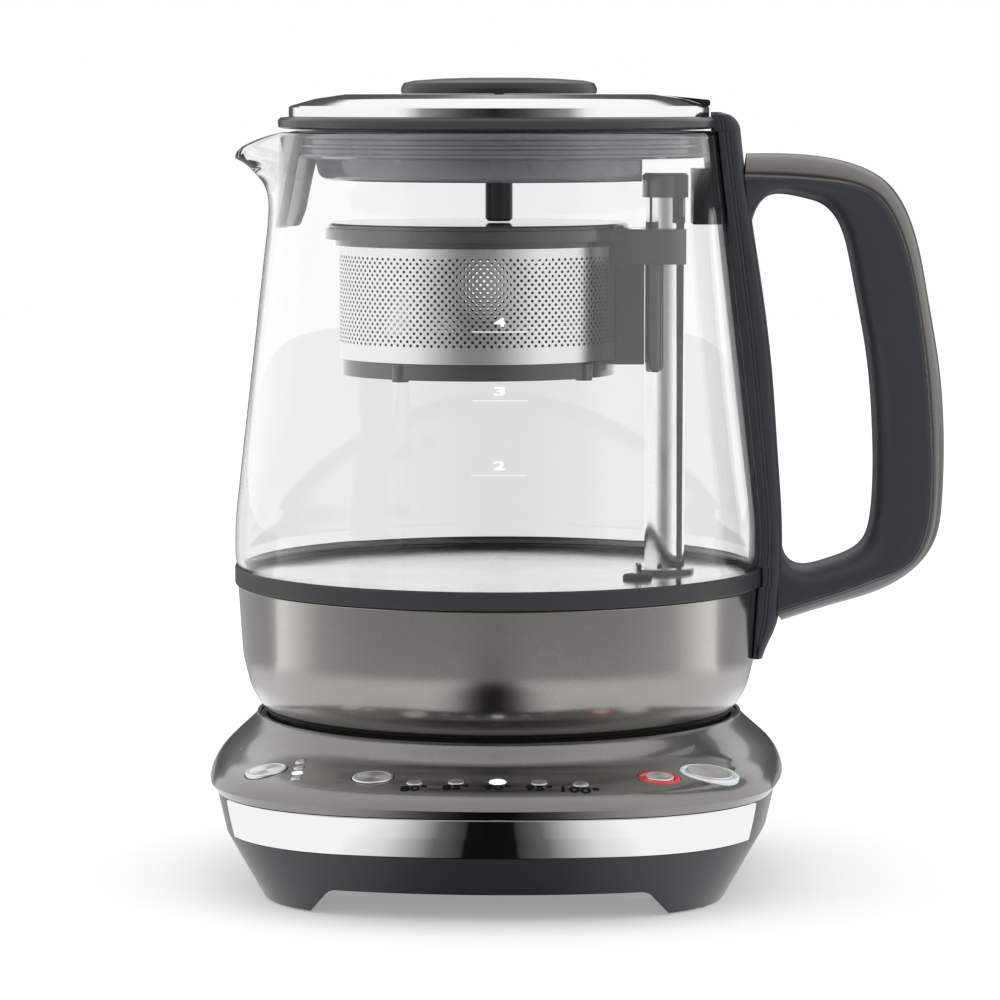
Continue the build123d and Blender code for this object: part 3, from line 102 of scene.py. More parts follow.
def rounded(corners: Array | tuple, closed: bool = True, steps: int = 6) -> Array:
    """Outline with each corner turned into an arc of its own radius.

    The arc touches both sides: it starts radius * tan(turn / 2) before the corner. One more point
    stands beside each end of the arc, so that shading stays flat on the straight parts.

    Args:
        corners: rows of (x, z, radius), as an array or tuples.
        closed: whether the last corner joins the first.
        steps: points along each arc.

    Returns:
        Points (x, z) of the rounded outline.
    """
    spot = np.asarray(corners, float)
    place, radius = spot[:, :2], spot[:, 2:3]
    before = place - np.roll(place, 1, 0)
    after = np.roll(place, -1, 0) - place
    if not closed:
        before[0] = after[0]
        after[-1] = before[-1]
    before /= np.linalg.norm(before, axis=1, keepdims=True)
    after /= np.linalg.norm(after, axis=1, keepdims=True)
    cross = before[:, 0] * after[:, 1] - before[:, 1] * after[:, 0]
    turn = np.arctan2(cross, (before * after).sum(1))[:, None]
    reach = radius * np.tan(np.abs(turn) / 2)
    left = np.stack([-before[:, 1], before[:, 0]], 1) * np.sign(turn)
    start = place - before * reach
    centre = start + left * radius
    share = np.linspace(0, 1, steps)[None, :, None]
    swing = turn[:, None, :] * share
    arm = (start - centre)[:, None, :]
    crossed = np.stack([-arm[..., 1], arm[..., 0]], -1)
    arc = centre[:, None, :] + arm * np.cos(swing) + crossed * np.sin(swing)
    beside = 0.35 * np.minimum(reach, 1.0)[:, None, :]
    first = arc[:, :1] - before[:, None, :] * beside
    last = arc[:, -1:] + after[:, None, :] * beside
    points = np.concatenate([first, arc, last], 1).reshape(-1, 2)
    moved = np.linalg.norm(np.diff(points, axis=0), axis=1) > 1e-5
    return points[np.concatenate([[True], moved])]


def grid_faces(rows: int, columns: int, wrap_rows: bool, wrap_columns: bool) -> Array:
    """Four-sided faces of a grid whose columns run round it and whose rows run along it.

    Args:
        rows: points along.
        columns: points round.
        wrap_rows: whether the last row joins the first.
        wrap_columns: whether the last column joins the first.

    Returns:
        Point numbers, shape (faces, 4).
    """
    row = np.arange(rows if wrap_rows else rows - 1)[:, None]
    column = np.arange(columns if wrap_columns else columns - 1)[None, :]
    up, over = (row + 1) % rows, (column + 1) % columns
    here, above = row * columns, up * columns
    quad = [here + column, here + over, above + over, above + column]
    return np.stack(np.broadcast_arrays(*quad), -1).reshape(-1, 4)


def turned(profile: Array, steps: int = 192) -> Array:
    """Surface of revolution: (r cos a, r sin a, z) for each profile point (r, z) and angle a.

    Args:
        profile: points (r, z), counter-clockwise with r to the right.
        steps: points round the axis.

    Returns:
        Points, shape (profile, steps, 3).
    """
    angle = np.arange(steps) * TURN / steps
    radius, height = profile[:, :1], profile[:, 1:2]
    flat = np.broadcast_to(height, (len(profile), steps))
    return np.stack([radius * np.cos(angle), radius * np.sin(angle), flat], -1)


def filled(rings: Array) -> tuple[Array, Array]:
    """Three-sided faces of a tube of rings, closed at both ends by a fan from the ring's mean.

    Args:
        rings: points, shape (rings, points, 3).

    Returns:
        All points, and point numbers of the faces.
    """
    count, around = rings.shape[:2]
    sides = grid_faces(count, around, wrap_rows=False, wrap_columns=True)
    here = np.arange(around)
    over = (here + 1) % around
    last = (count - 1) * around
    low = np.stack([over, here, np.full(around, count * around)], 1)
    high = np.stack([last + here, last + over, np.full(around, count * around + 1)], 1)
    points = np.concatenate([rings.reshape(-1, 3), rings[[0, -1]].mean(1)])
    return points, np.concatenate([sides[:, [0, 1, 2]], sides[:, [0, 2, 3]], low, high])


def around_map(faces: Array, around: int, rings: int) -> Array:
    """Map of a turned piece: u is the share of the turn, and v that of the rings.

    Args:
        faces: point numbers, shape (faces, sides).
        around: points in each ring.
        rings: number of rings; later points are poles.

    Returns:
        (u, v) of each face corner, with u running past 1 where a face closes the turn.
    """
    column = (faces % around).astype(float)
    pole = faces >= around * rings
    column[pole] = np.nan
    wide = np.nanmax(column, 1) - np.nanmin(column, 1) > around / 2
    column[wide] += np.where(column[wide] < around / 2, around, 0)
    middle = np.nanmean(column, 1, keepdims=True)
    column = np.where(pole, middle, column)
    return np.stack([column / around, faces // around / rings], -1)


@dataclass(frozen=True)
class Seat:
    """A sloping place on a surface.

    Attributes:
        place: its point.
        facing: the direction that it faces.
    """

    place: tuple[float, float, float]
    facing: tuple[float, float, float] = (0.0, 0.0, 1.0)

    def put(self, points: Array) -> Array:
        """Points given across, ahead and up from the place, in the model's frame.

        Across is X turned into the seat's plane, and ahead is up crossed with across.

        Args:
            points: places in millimetres, any shape that ends in 3.

        Returns:
            The same places from the origin.
        """
        up = np.array(self.facing) / np.linalg.norm(self.facing)
        across = np.array((1.0, 0.0, 0.0)) - up * up[0]
        across /= np.linalg.norm(across)
        return np.array(self.place) + points @ np.array([across, np.cross(up, across), up])


# --- meshes -----------------------------------------------------------------------------------
def piece(name: str, points: Array, faces: Array, uv: Array | None = None) -> bpy.types.Object:
    """New smooth-shaded mesh object at the origin, with its faces outward.

    The faces are turned round if the sum of (a x b) . c over their corners, six times the
    enclosed volume, is negative.

    Args:
        name: the piece's name.
        points: places in millimetres, any shape that ends in 3.
        faces: point numbers of four-sided or three-sided faces, shape (faces, sides).
        uv: (u, v) of each face corner, where the piece has a map.

    Returns:
        The object, linked to the scene.
    """
    mesh = bpy.data.meshes.new(name)
    spots = np.ascontiguousarray(points.reshape(-1, 3) * MM)
    inner = spots - spots.mean(0)
    fans = [inner[faces[:, [0, turn, turn + 1]]] for turn in range(1, faces.shape[1] - 1)]
    volume = sum((np.cross(fan[:, 0], fan[:, 1]) * fan[:, 2]).sum() for fan in fans)
    if volume < 0:
        faces = faces[:, ::-1]
        uv = None if uv is None else uv[:, ::-1]
    sides = faces.shape[1]
    mesh.vertices.add(len(spots))
    mesh.vertices.foreach_set("co", spots.ravel())
    mesh.loops.add(faces.size)
    mesh.loops.foreach_set("vertex_index", faces.ravel().astype(np.int32))
    mesh.polygons.add(len(faces))
    mesh.polygons.foreach_set("loop_start", np.arange(0, faces.size, sides, dtype=np.int32))
    mesh.update(calc_edges=True)
    mesh.validate()
    mesh.shade_smooth()
    if uv is not None:
        layer = mesh.uv_layers.new(name="along")
        layer.data.foreach_set("uv", uv.ravel())
    made = bpy.data.objects.new(name, mesh)
    bpy.context.scene.collection.objects.link(made)
    return made


def lathe(
    name: str, corners: Iterable, steps: int = 192, arc: int = 6, seat: Seat = Seat((0, 0, 0))
) -> bpy.types.Object:
    """Turned piece; see rounded and turned.

    Args:
        name: the piece's name.
        corners: rows of (r, z, radius). Where the first has r = 0, so has the last, and the piece
            is solid; otherwise the outline closes on itself.
        steps: points round the axis.
        arc: points along each rounded corner.
        seat: where the axis stands.

    Returns:
        The object.
    """
    outline = np.array(list(corners), float)
    solid = outline[0, 0] == 0
    line = rounded(outline, closed=not solid, steps=arc)
    rings = turned(line[line[:, 0] > 1e-6], steps)
    count = len(rings)
    if solid:
        points, faces = filled(rings)
    else:
        points, faces = rings.reshape(-1, 3), grid_faces(count, steps, True, True)
    return piece(name, seat.put(points), faces, around_map(faces, steps, count))


def sections(name: str, rings: Array) -> bpy.types.Object:
    """Solid piece from rings of points, shape (rings, points, 3); see filled."""
    return piece(name, *filled(rings))


def lettering(words: str, width: float, height: float, thick: float) -> tuple[Array, Array]:
    """Raised letters, centred on the origin and fitted to a width and a height.

    Args:
        words: the digits to write.
        width: width in millimetres.
        height: height in millimetres.
        thick: how far they stand up, in millimetres.

    Returns:
        Points (across, up, out) in millimetres, and point numbers of three-sided faces.
    """
    text = bpy.data.curves.new("letters", "FONT")
    text.body = words
    text.extrude = LETTER_DEPTH
    text.offset = LETTER_WEIGHT
    text.resolution_u = LETTER_STEPS
    carrier = bpy.data.objects.new("letters", text)
    bpy.context.scene.collection.objects.link(carrier)
    bpy.context.view_layer.update()
    drawn = carrier.evaluated_get(bpy.context.evaluated_depsgraph_get())
    mesh = bpy.data.meshes.new_from_object(drawn)
    mesh.calc_loop_triangles()
    spots = np.empty(3 * len(mesh.vertices))
    mesh.vertices.foreach_get("co", spots)
    faces = np.empty(3 * len(mesh.loop_triangles), dtype=np.int32)
    mesh.loop_triangles.foreach_get("vertices", faces)
    bpy.data.objects.remove(carrier)
    bpy.data.meshes.remove(mesh)
    bpy.data.curves.remove(text)
    spots = spots.reshape(-1, 3)
    low, high = spots.min(0), spots.max(0)
    sized = (spots - (low + high) / 2) / (high - low) * (width, height, thick)
    return sized, faces.reshape(-1, 3)


def edges_kept(made: bpy.types.Object, degrees: float) -> bpy.types.Object:
    """Splits shading where two faces meet at more than an angle.

    Args:
        made: the piece.
        degrees: the angle.

    Returns:
        The piece.
    """
    cut = made.modifiers.new("crease", "EDGE_SPLIT")
    cut.split_angle = math.radians(degrees)
    return made


def from_solid(node: str, degrees: float = 32) -> bpy.types.Object:
    """Smooths the shading of a node of the solid model and keeps its sharp edges.

    Args:
        node: the node's name.
        degrees: an edge sharper than this stays sharp.

    Returns:
        The node's object.
    """
    made = frame["nodes"][node]
    made.data.shade_smooth()
    weld = made.modifiers.new("join", "WELD")
    weld.merge_threshold = WELD_REACH
    return edges_kept(made, degrees)


# --- shader nodes -----------------------------------------------------------------------------
def feed(tree: Tree, made: bpy.types.Node, inputs: dict) -> bpy.types.Node:
    """Sets inputs of a node.

    Args:
        tree: the node's tree.
        made: the node.
        inputs: for each input's name or number, its value or the socket that feeds it.

    Returns:
        The node.
    """
    for name, value in inputs.items():
        if isinstance(value, Socket):
            tree.links.new(value, made.inputs[name])
        else:
            made.inputs[name].default_value = value
    return made


def node(tree: Tree, kind: str, inputs: dict | None = None, **settings: str) -> bpy.types.Node:
    """New shader node. Its settings come first, because they decide which inputs it has.

    Args:
        tree: nodes to add to.
        kind: the node's type, without the word ShaderNode.
        inputs: see feed.
        settings: properties of the node.

    Returns:
        The node.
    """
    made = tree.nodes.new(f"ShaderNode{kind}")
    for name, value in settings.items():
        setattr(made, name, value)
    return feed(tree, made, inputs or {})


def mixed(tree: Tree, share: Socket, low: Socket | tuple, high: Socket | tuple) -> Socket:
    """Colour between two others.

    Args:
        tree: nodes to add to.
        share: 0 for the low colour, 1 for the high one.
        low: colour or socket.
        high: colour or socket.

    Returns:
        The socket that gives the colour.
    """
    inputs = {"A": low, "B": high, "Factor": share}
    return node(tree, "Mix", inputs, data_type="RGBA").outputs["Result"]


# --- finishes -----------------------------------------------------------------------------------
BRUSH_LENGTH = 60  # length of a brushed line, in grain sizes
GRAIN_DETAIL = 3.0  # layers of the fine noise
BROAD_SCALE = 35.0  # patches of roughness in a metre
BUMP_SHARE = 0.2  # height of the grain's bump, in grain sizes
LEAST_ROUGHNESS = 0.02


class Grain(Enum):
    """How a surface's fine texture runs."""

    SMOOTH = "smooth"
    SPECKS = "specks"
    BRUSHED_ACROSS = "brushed across"
    SPUN = "spun about the jug's axis"
    FLAKES = "flakes"


@dataclass(frozen=True)
class Finish:
    """One material: its colour, gloss and grain.

    Attributes:
        name: the material's name.
        colour: linear base colour.
        roughness: mean roughness.
        metallic: 0 for plastic and glass, 1 for metal.
        grain: the kind of fine texture.
        grain_size: size of the grain in millimetres.
        grain_depth: strength of the grain's bump.
        vary: how much roughness changes over the surface.
        tint: how much the grain lightens and darkens the colour.
        coat: weight of the clear layer.
        coat_roughness: roughness of the clear layer.
        clear: how much light passes through.
        ior: refractive index.
        stretch: length of highlights along the map's u, from 0 to 1.
        glow: emitted light.
    """

    name: str
    colour: tuple[float, float, float]
    roughness: float = 0.5
    metallic: float = 0.0
    grain: Grain = Grain.SPECKS
    grain_size: float = 0.3
    grain_depth: float = 0.1
    vary: float = 0.05
    tint: float = 0.06
    coat: float = 0.0
    coat_roughness: float = 0.03
    clear: float = 0.0
    ior: float = 1.5
    stretch: float = 0.0
    glow: float = 0.0

    def material(self) -> bpy.types.Material:
        """The material, made on first use."""
        known = bpy.data.materials.get(self.name)
        if known:
            return known
        made = bpy.data.materials.new(self.name)
        made.use_nodes = True
        tree = made.node_tree
        shader = tree.nodes["Principled BSDF"]
        inputs = {
            "Base Color": (*self.colour, 1),
            "Roughness": self.roughness,
            "Metallic": self.metallic,
            "IOR": self.ior,
            "Coat Weight": self.coat,
            "Coat Roughness": self.coat_roughness,
            "Transmission Weight": self.clear,
            "Anisotropic": self.stretch,
        }
        if self.glow:
            inputs |= {"Emission Color": (*self.colour, 1), "Emission Strength": self.glow}
        feed(tree, shader, inputs)
        if self.grain is not Grain.SMOOTH:
            self._texture(tree, shader)
        if self.stretch:
            tangent = node(tree, "Tangent", direction_type="UV_MAP", uv_map="along")
            feed(tree, shader, {"Tangent": tangent.outputs["Tangent"]})
        return made

    def _pattern(self, tree: Tree) -> Socket:
        """Coordinates of the grain, in grain sizes: distance from the axis alone where it is spun.

        Args:
            tree: the material's nodes.

        Returns:
            The socket that gives them.
        """
        place = node(tree, "TexCoord").outputs["Object"]
        scale = 1 / (self.grain_size * MM)
        if self.grain is Grain.SPUN:
            flat = node(tree, "VectorMath", {0: place, 1: (scale, scale, 0)}, operation="MULTIPLY")
            far = node(tree, "VectorMath", {0: flat.outputs["Vector"]}, operation="LENGTH")
            return node(tree, "CombineXYZ", {"X": far.outputs["Value"]}).outputs["Vector"]
        along = scale / BRUSH_LENGTH if self.grain is Grain.BRUSHED_ACROSS else scale
        inputs = {"Vector": place, "Scale": (along, scale, scale)}
        return node(tree, "Mapping", inputs).outputs["Vector"]

    def _texture(self, tree: Tree, shader: bpy.types.Node) -> None:
        """Adds the grain's bump, roughness and colour changes.

        Args:
            tree: the material's nodes.
            shader: the shader to change.
        """
        inputs = {"Vector": self._pattern(tree), "Scale": 1.0, "Detail": GRAIN_DETAIL}
        fine = node(tree, "TexNoise", inputs).outputs["Fac"]
        inputs = {"Vector": node(tree, "TexCoord").outputs["Object"], "Scale": BROAD_SCALE}
        broad = node(tree, "TexNoise", inputs).outputs["Fac"]
        least = max(self.roughness - self.vary, LEAST_ROUGHNESS)
        inputs = {"Value": broad, "To Min": least, "To Max": self.roughness + self.vary}
        rough = node(tree, "MapRange", inputs).outputs["Result"]
        rise = self.grain_size * MM * BUMP_SHARE
        inputs = {"Height": fine, "Strength": self.grain_depth, "Distance": rise}
        bump = node(tree, "Bump", inputs).outputs["Normal"]
        dark = (*((1 - self.tint) * part for part in self.colour), 1)
        light = (*((1 + self.tint) * part for part in self.colour), 1)
        shade = mixed(tree, fine, dark, light)
        feed(tree, shader, {"Base Color": shade, "Roughness": rough, "Normal": bump})


BRUSHED, SPUN = Grain.BRUSHED_ACROSS, Grain.SPUN
PANEL_METAL = Finish(
    "panel lacquer", (0.245, 0.240, 0.224), 0.28, 1, Grain.FLAKES, 0.22, 0.35, 0.02, 0.3, coat=0.8
)
SLEEVE_METAL = Finish(
    "sleeve lacquer", (0.34, 0.33, 0.305), 0.20, 1, Grain.FLAKES, 0.22, 0.35, 0.02, 0.3, coat=1.0
)
BAND_CHROME = Finish(
    "band chrome", (0.90, 0.90, 0.90), 0.05, 1, Grain.SPECKS, 2.0, 0.01, 0.01, 0.01
)
STEEL = Finish("polished steel", (0.86, 0.86, 0.85), 0.08, 1, Grain.SPECKS, 1.0, 0.02, 0.03)
CAP_STEEL = Finish("lid steel", (0.92, 0.92, 0.915), 0.09, 1, SPUN, 0.3, 0.05, 0.04)
SATIN_STEEL = Finish("satin steel", (0.86, 0.85, 0.83), 0.24, 1, BRUSHED, 0.2, 0.1)
# a darker, rougher copy of the satin steel: painted shade on the basket's inner side
PAINTED_SHADE_STEEL = Finish("inner steel painted shade", (0.10, 0.10, 0.10), 0.45, 1, BRUSHED, 0.2, 0.1)
PLATE_STEEL = Finish("plate steel", (0.62, 0.61, 0.60), 0.14, 1, SPUN, 0.35, 0.3, 0.05, 0.15)
SPUN_STEEL = Finish("spun steel", (0.92, 0.92, 0.91), 0.30, 1, Grain.SPECKS, 0.4, 0.02, stretch=0.9)
DARK_PLASTIC = Finish(
    "dark plastic", (0.014, 0.014, 0.016), 0.40, 0, grain_size=0.35, grain_depth=0.12
)
HOUSING_PLASTIC = Finish("housing plastic", (0.030, 0.031, 0.037), 0.32, 0, grain_depth=0.06)
CHARCOAL = Finish("charcoal plastic", (0.034, 0.034, 0.038), 0.45, 0, grain_size=0.35)
GRIP_PLASTIC = Finish("grip plastic", (0.038, 0.041, 0.048), 0.42, 0, grain_depth=0.12)
TRIM_PLASTIC = Finish(
    "handle trim", (0.19, 0.185, 0.175), 0.28, 0.9, Grain.FLAKES, 0.25, 0.1, tint=0.2
)
LID_RING_PLASTIC = Finish("lid plastic", (0.045, 0.045, 0.050), 0.26, 0, grain_depth=0.10)
KNOB_PLASTIC = Finish("knob plastic", (0.022, 0.022, 0.023), 0.34, 0, grain_depth=0.12)
GREY_PLASTIC = Finish(
    "grey plastic", (0.075, 0.077, 0.078), 0.24, 0, grain_size=0.4, grain_depth=0.06, coat=0.8
)
PLUG_PLASTIC = Finish(
    "plug plastic", (0.25, 0.25, 0.275), 0.26, 0, grain_size=0.4, grain_depth=0.06, coat=0.8
)
RUBBER = Finish("black rubber", (0.018, 0.018, 0.018), 0.7, 0, grain_depth=0.2)
GLASS = Finish("jug glass", (0.97, 0.98, 0.98), 0.0, grain=Grain.SMOOTH, clear=1.0, ior=1.47)
# white print; its glow is painted light, not a lamp
GLOWING_WHITE_PRINT = Finish("white print with painted glow", (0.85, 0.85, 0.85), 0.5, glow=0.35)
MARK_DARK = Finish("dark print", (0.012, 0.012, 0.012), 0.7, ior=1.02)
LENS = Finish("light lens", (0.62, 0.62, 0.60), 0.12, 0.8, grain_size=0.5, grain_depth=0.05)
LENS_LIT = Finish("lit lens", (1.0, 1.0, 1.0), 0.2, glow=0.5)
RED_RING = Finish("red ring", (0.70, 0.012, 0.010), 0.16, coat=0.6, grain_depth=0.02, glow=0.2)
WHITE_RING = Finish("white ring", (0.66, 0.72, 0.74), 0.12, coat=0.6, grain_depth=0.02, glow=0.25)
BRASS = Finish("contact brass", (0.60, 0.42, 0.16), 0.25, 1, grain_size=0.5)
BOARD = Finish("board", (0.03, 0.12, 0.05), 0.35, 0, grain_size=0.5, coat=0.5)
SCREW_STEEL = Finish("screw steel", (0.45, 0.45, 0.44), 0.32, 1)
CAST_METAL = Finish("cast metal", (0.55, 0.55, 0.56), 0.40, 1, grain_size=0.5, grain_depth=0.2)

# nodes of the solid model by the finish that they wear
NODES_OF = {
    HOUSING_PLASTIC: "lower_housing",
    SCREW_STEEL: "housing_screws board_screws jug_screws handle_screws knob_screw drive_spindle "
    "drive_motor drive_magnet",
    RUBBER: "rubber_feet cord_bushing glass_seal sensor_gasket",
    BAND_CHROME: "trim_band",
    PANEL_METAL: "top_panel",
    DARK_PLASTIC: "dock_well base_connector tap_switches jug_connector jug_base_cover "
    "thermal_cutout handle_bracket lid_tab_tip",
    BRASS: "base_contacts",
    BOARD: "control_board",
    RED_RING: "ring_warm",
    WHITE_RING: "ring_start",
    LENS: "indicator_lenses",
    SPUN_STEEL: "button_strength button_temperature button_warm button_start",
    SLEEVE_METAL: "jug_body",
    CHARCOAL: "collar_ring",
    PLATE_STEEL: "heater_plate",
    CAST_METAL: "heating_element",
    GLASS: "jug_glass",
    GREY_PLASTIC: "spout_guard shaft_cap shaft_seal basket_frame basket_lid",
    STEEL: "basket_shaft sensor_probe lid_tab",
    GRIP_PLASTIC: "handle_spine handle_grip lid_stem",
    TRIM_PLASTIC: "handle_trim",
    CAP_STEEL: "lid_cap",
    LID_RING_PLASTIC: "lid_flange",
    PLUG_PLASTIC: "lid_skirt lid_seal",
    KNOB_PLASTIC: "lid_knob",
    SATIN_STEEL: "basket_wall basket_floor",
}


def dress(made: bpy.types.Object, finish: Finish) -> bpy.types.Object:
    """Gives a piece one finish.

    Args:
        made: the piece.
        finish: its finish.

    Returns:
        The piece.
    """
    made.data.materials.clear()
    made.data.materials.append(finish.material())
    return made


def fitted(
    made: bpy.types.Object, finish: Finish, body: str, slot: str, *nodes: str
) -> bpy.types.Object:
    """Dresses a piece and says what it rides on and what it stands for.

    Args:
        made: the piece.
        finish: its finish.
        body: the body of the solid model that it moves with.
        slot: not used.
        nodes: nodes of the solid model that it replaces.

    Returns:
        The piece.
    """
    dress(made, finish)
    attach(made, body)
    if nodes:
        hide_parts(*nodes)
    log.info("%s rides on %s", made.name, body)
    return made


# --- base ---------------------------------------------------------------------------------------
@dataclass
class Base:
    """Bowed bright band round the front of the base.

    The rim in plan is one wide arc across the front that runs into a corner arc on each side.

    Attributes:
        front_radius: radius of the front arc.
        front_centre: y of its centre.
        corner_radius: radius of the corner arcs.
        corner_centre: centre of the corner arc at +X.
        front_half: turn at which the front arc ends.
        end_turn: turn at which the band ends.
        top: the band's upper edge, as distance inside the rim and z.
        bottom: its lower edge, likewise.
        middle: where it bows out the most, likewise.
        bow: radius of the bow.
        edge: radius of its outer edges.
        wall: its thickness.
        steps: sections along it.
    """

    front_radius: float = 158.44
    front_centre: float = 62.24
    corner_radius: float = 52.0
    corner_centre: tuple[float, float] = (26.27, -40.91)
    front_half: float = math.radians(14.287)
    end_turn: float = math.radians(67.25)
    top: tuple[float, float] = (1.85, 29.5)
    bottom: tuple[float, float] = (4.2, 18.7)
    middle: tuple[float, float] = (2.885, 24.1)
    bow: float = 18.0
    edge: float = 0.35
    wall: float = 1.1
    steps: int = 161

    def rim(self, turn: Array, inset: Array) -> Array:
        """Points (x, y) inside the rim, where the outward direction is turned from -Y.

        A point is the arc's centre plus (radius - inset) along that direction: the front arc's
        within front_half, and the corner's beyond it.

        Args:
            turn: the direction's angle from -Y, towards +X.
            inset: distance inside the rim.

        Returns:
            Places in plan.
        """
        front = np.abs(turn) <= self.front_half
        radius = np.where(front, self.front_radius, self.corner_radius) - inset
        centre_x = np.where(front, 0, np.sign(turn) * self.corner_centre[0])
        centre_y = np.where(front, self.front_centre, self.corner_centre[1])
        return np.stack([centre_x + radius * np.sin(turn), centre_y - radius * np.cos(turn)], -1)

    def band(self) -> bpy.types.Object:
        """Closed strip: a rounded section, bowed outwards, carried along the rim."""
        outline = (
            (*self.bottom, self.edge),
            (*self.middle, self.bow),
            (*self.top, self.edge),
            (self.top[0] + self.wall, self.top[1], 0.2),
            (self.bottom[0] + self.wall, self.bottom[1], 0.2),
        )
        line = rounded(outline, steps=8)
        turn = np.linspace(-self.end_turn, self.end_turn, self.steps)[:, None]
        plan = self.rim(turn, line[None, :, 0])
        rings = np.concatenate([plan, np.broadcast_to(line[:, 1:], plan.shape[:2] + (1,))], -1)
        return sections("bright_band", rings)

    def build(self) -> None:
        """Makes and dresses the band."""
        fitted(self.band(), BAND_CHROME, "base", "polished_band", "trim_band")


# --- controls -----------------------------------------------------------------------------------
@dataclass(frozen=True)
class Key:
    """One push button.

    Attributes:
        name: its name in the solid model.
        seat: where its middle meets the panel.
        radius: radius of its cap.
        ring: finish of the light ring round it, if any.
    """

    name: str
    seat: Seat
    radius: float
    ring: Finish | None = None


@dataclass
class Controls:
    """Buttons, light rings, lights and numbers of the sloping panel.

    Heights in the outlines are along the seat's direction from the panel.

    Attributes:
        keys: the push buttons.
        heat_lights: places of the temperature lights.
        strength_lights: places of the strength lights.
        heat_radius: radius of a temperature light's opening.
        strength_radius: radius of a strength light's opening.
        lit: which light of each row is on.
        degrees: temperatures beside their lights.
        number_y: middle of the numbers.
        digit_width: width of one digit.
        sign_width: width of the degree sign, in digits.
        number_height: height of the numbers.
        print_thick: thickness of the print.
        print_lift: how far its middle stands above the panel.
        panel_low: a height under all of the visible panel.
        key_middle: middle of a button's outline, as rows of (r, z, rounding).
        key_edge: its rim, with each r measured from the button's radius.
        key_stem: its stem.
        ring_outline: a light ring, with each r measured from the button's radius.
        light_outline: a light, as rows of (share of its radius, z, rounding).
    """

    keys: tuple[Key, ...] = (
        Key("strength", Seat((-61.2, -64.2, 37.8475), (-0.14104, -0.12378, 0.98223)), 5.8),
        Key("temperature", Seat((-31.2, -78.6, 38.318), (-0.0383, -0.1395, 0.98948)), 5.5),
        Key("warm", Seat((45.9, -74.0, 38.1654), (0.07066, -0.12769, 0.98929)), 3.95, RED_RING),
        Key("start", Seat((59.6, -64.6, 38.0139), (0.12506, -0.11816, 0.98509)), 6.45, WHITE_RING),
    )
    heat_lights: tuple[Seat, ...] = (
        Seat((-19.6, -83.7, 37.938), (-0.0251, -0.1559, 0.9875)),
        Seat((-8.47, -83.7, 38.137), (-0.0106, -0.1503, 0.9886)),
        Seat((2.66, -83.7, 38.178), (0.0033, -0.1502, 0.9887)),
        Seat((13.79, -83.7, 38.062), (0.0173, -0.1515, 0.9883)),
        Seat((24.92, -83.7, 37.78), (0.0336, -0.1654, 0.9857)),
    )
    strength_lights: tuple[Seat, ...] = (
        Seat((-52.2, -60.1, 39.711), (-0.1904, -0.2284, 0.9548)),
        Seat((-52.2, -65.0, 38.802), (-0.1121, -0.1431, 0.9833)),
        Seat((-52.2, -69.9, 38.17), (-0.0909, -0.1219, 0.9884)),
        Seat((-52.2, -74.8, 37.487), (-0.1163, -0.1646, 0.9795)),
    )
    heat_radius: float = 2.4
    strength_radius: float = 1.65
    lit: int = 2
    degrees: tuple[int, ...] = (80, 85, 90, 95, 100)
    number_y: float = -88.0
    digit_width: float = 3.05
    sign_width: float = 0.35
    number_height: float = 3.3
    print_thick: float = 0.06
    print_lift: float = 0.08
    panel_low: float = 35.5
    key_middle: tuple = ((0, 0.34, 0), (0.4, 0.34, 0.1))
    key_edge: tuple = (
        (-1.0, 0.38, 0.6), (-0.7, 0.5, 0.2), (0, 0.42, 0.3), (0, -2.4, 0.1), (0.95, -2.4, 0.1),
        (0.95, -3.2, 0.1),
    )
    key_stem: tuple = ((1.5, -3.2, 0.1), (1.5, -5.8, 0.2), (0, -5.8, 0))
    ring_outline: tuple = (
        (0.32, -1.85, 0.1), (1.78, -1.85, 0.1), (1.78, 0.2, 0.55), (0.32, 0.2, 0.55)
    )
    light_outline: tuple = (
        (0, 0.35, 0), (0.55, 0.33, 1.0), (0.93, 0.16, 0.4), (0.985, -0.2, 0.1), (0.985, -2.9, 0.1),
        (0, -2.9, 0),
    )

    def key(self, key: Key) -> None:
        """Button with a softly raised rim and a slightly dished top, and its light ring.

        Args:
            key: the button.
        """
        edge = ((key.radius + out, z, soft) for out, z, soft in self.key_edge)
        outline = (*self.key_middle, *edge, *self.key_stem)
        cap = lathe(f"key_{key.name}", outline, steps=96, arc=4, seat=key.seat)
        fitted(cap, SPUN_STEEL, f"{key.name}_key", "polished_steel", f"button_{key.name}")
        if key.ring:
            outline = ((key.radius + out, z, soft) for out, z, soft in self.ring_outline)
            collar = lathe(f"glow_{key.name}", outline, steps=96, arc=5, seat=key.seat)
            slot = "lens_red" if key.ring is RED_RING else "lens_white"
            fitted(collar, key.ring, "base", slot, f"ring_{key.name}")

    def light(self, name: str, seat: Seat, radius: float, lit: bool) -> None:
        """Domed light with a rounded rim.

        Args:
            name: the piece's name.
            seat: where it meets the panel.
            radius: radius of its opening.
            lit: whether it is on.
        """
        outline = ((share * radius, z, soft) for share, z, soft in self.light_outline)
        dome = lathe(name, outline, steps=40, arc=4, seat=seat)
        fitted(dome, LENS_LIT if lit else LENS, "base", "lens_white", "indicator_lenses")

    def panel_height(self) -> Callable[[Array, Array], Array]:
        """Height of the panel, read from its mesh where a line straight down meets it.

        Returns:
            Function of x and y in millimetres that gives z. Over a light's opening it reads the
            panel a little further ahead.
        """
        mesh = frame["nodes"]["top_panel"].data
        spots = [point.co for point in mesh.vertices]
        tree = BVHTree.FromPolygons(spots, [face.vertices for face in mesh.polygons])

        def below(x: float, y: float) -> Vector | None:
            """Where a line straight down meets the panel."""
            return tree.ray_cast(Vector((x * MM, y * MM, 0.1)), Vector((0, 0, -1)))[0]

        def height(x: float, y: float) -> float:
            """Height at one place."""
            while (hit := below(x, y)) is None or hit.z < self.panel_low * MM:
                y -= 0.1
            return hit.z / MM

        return np.vectorize(height)

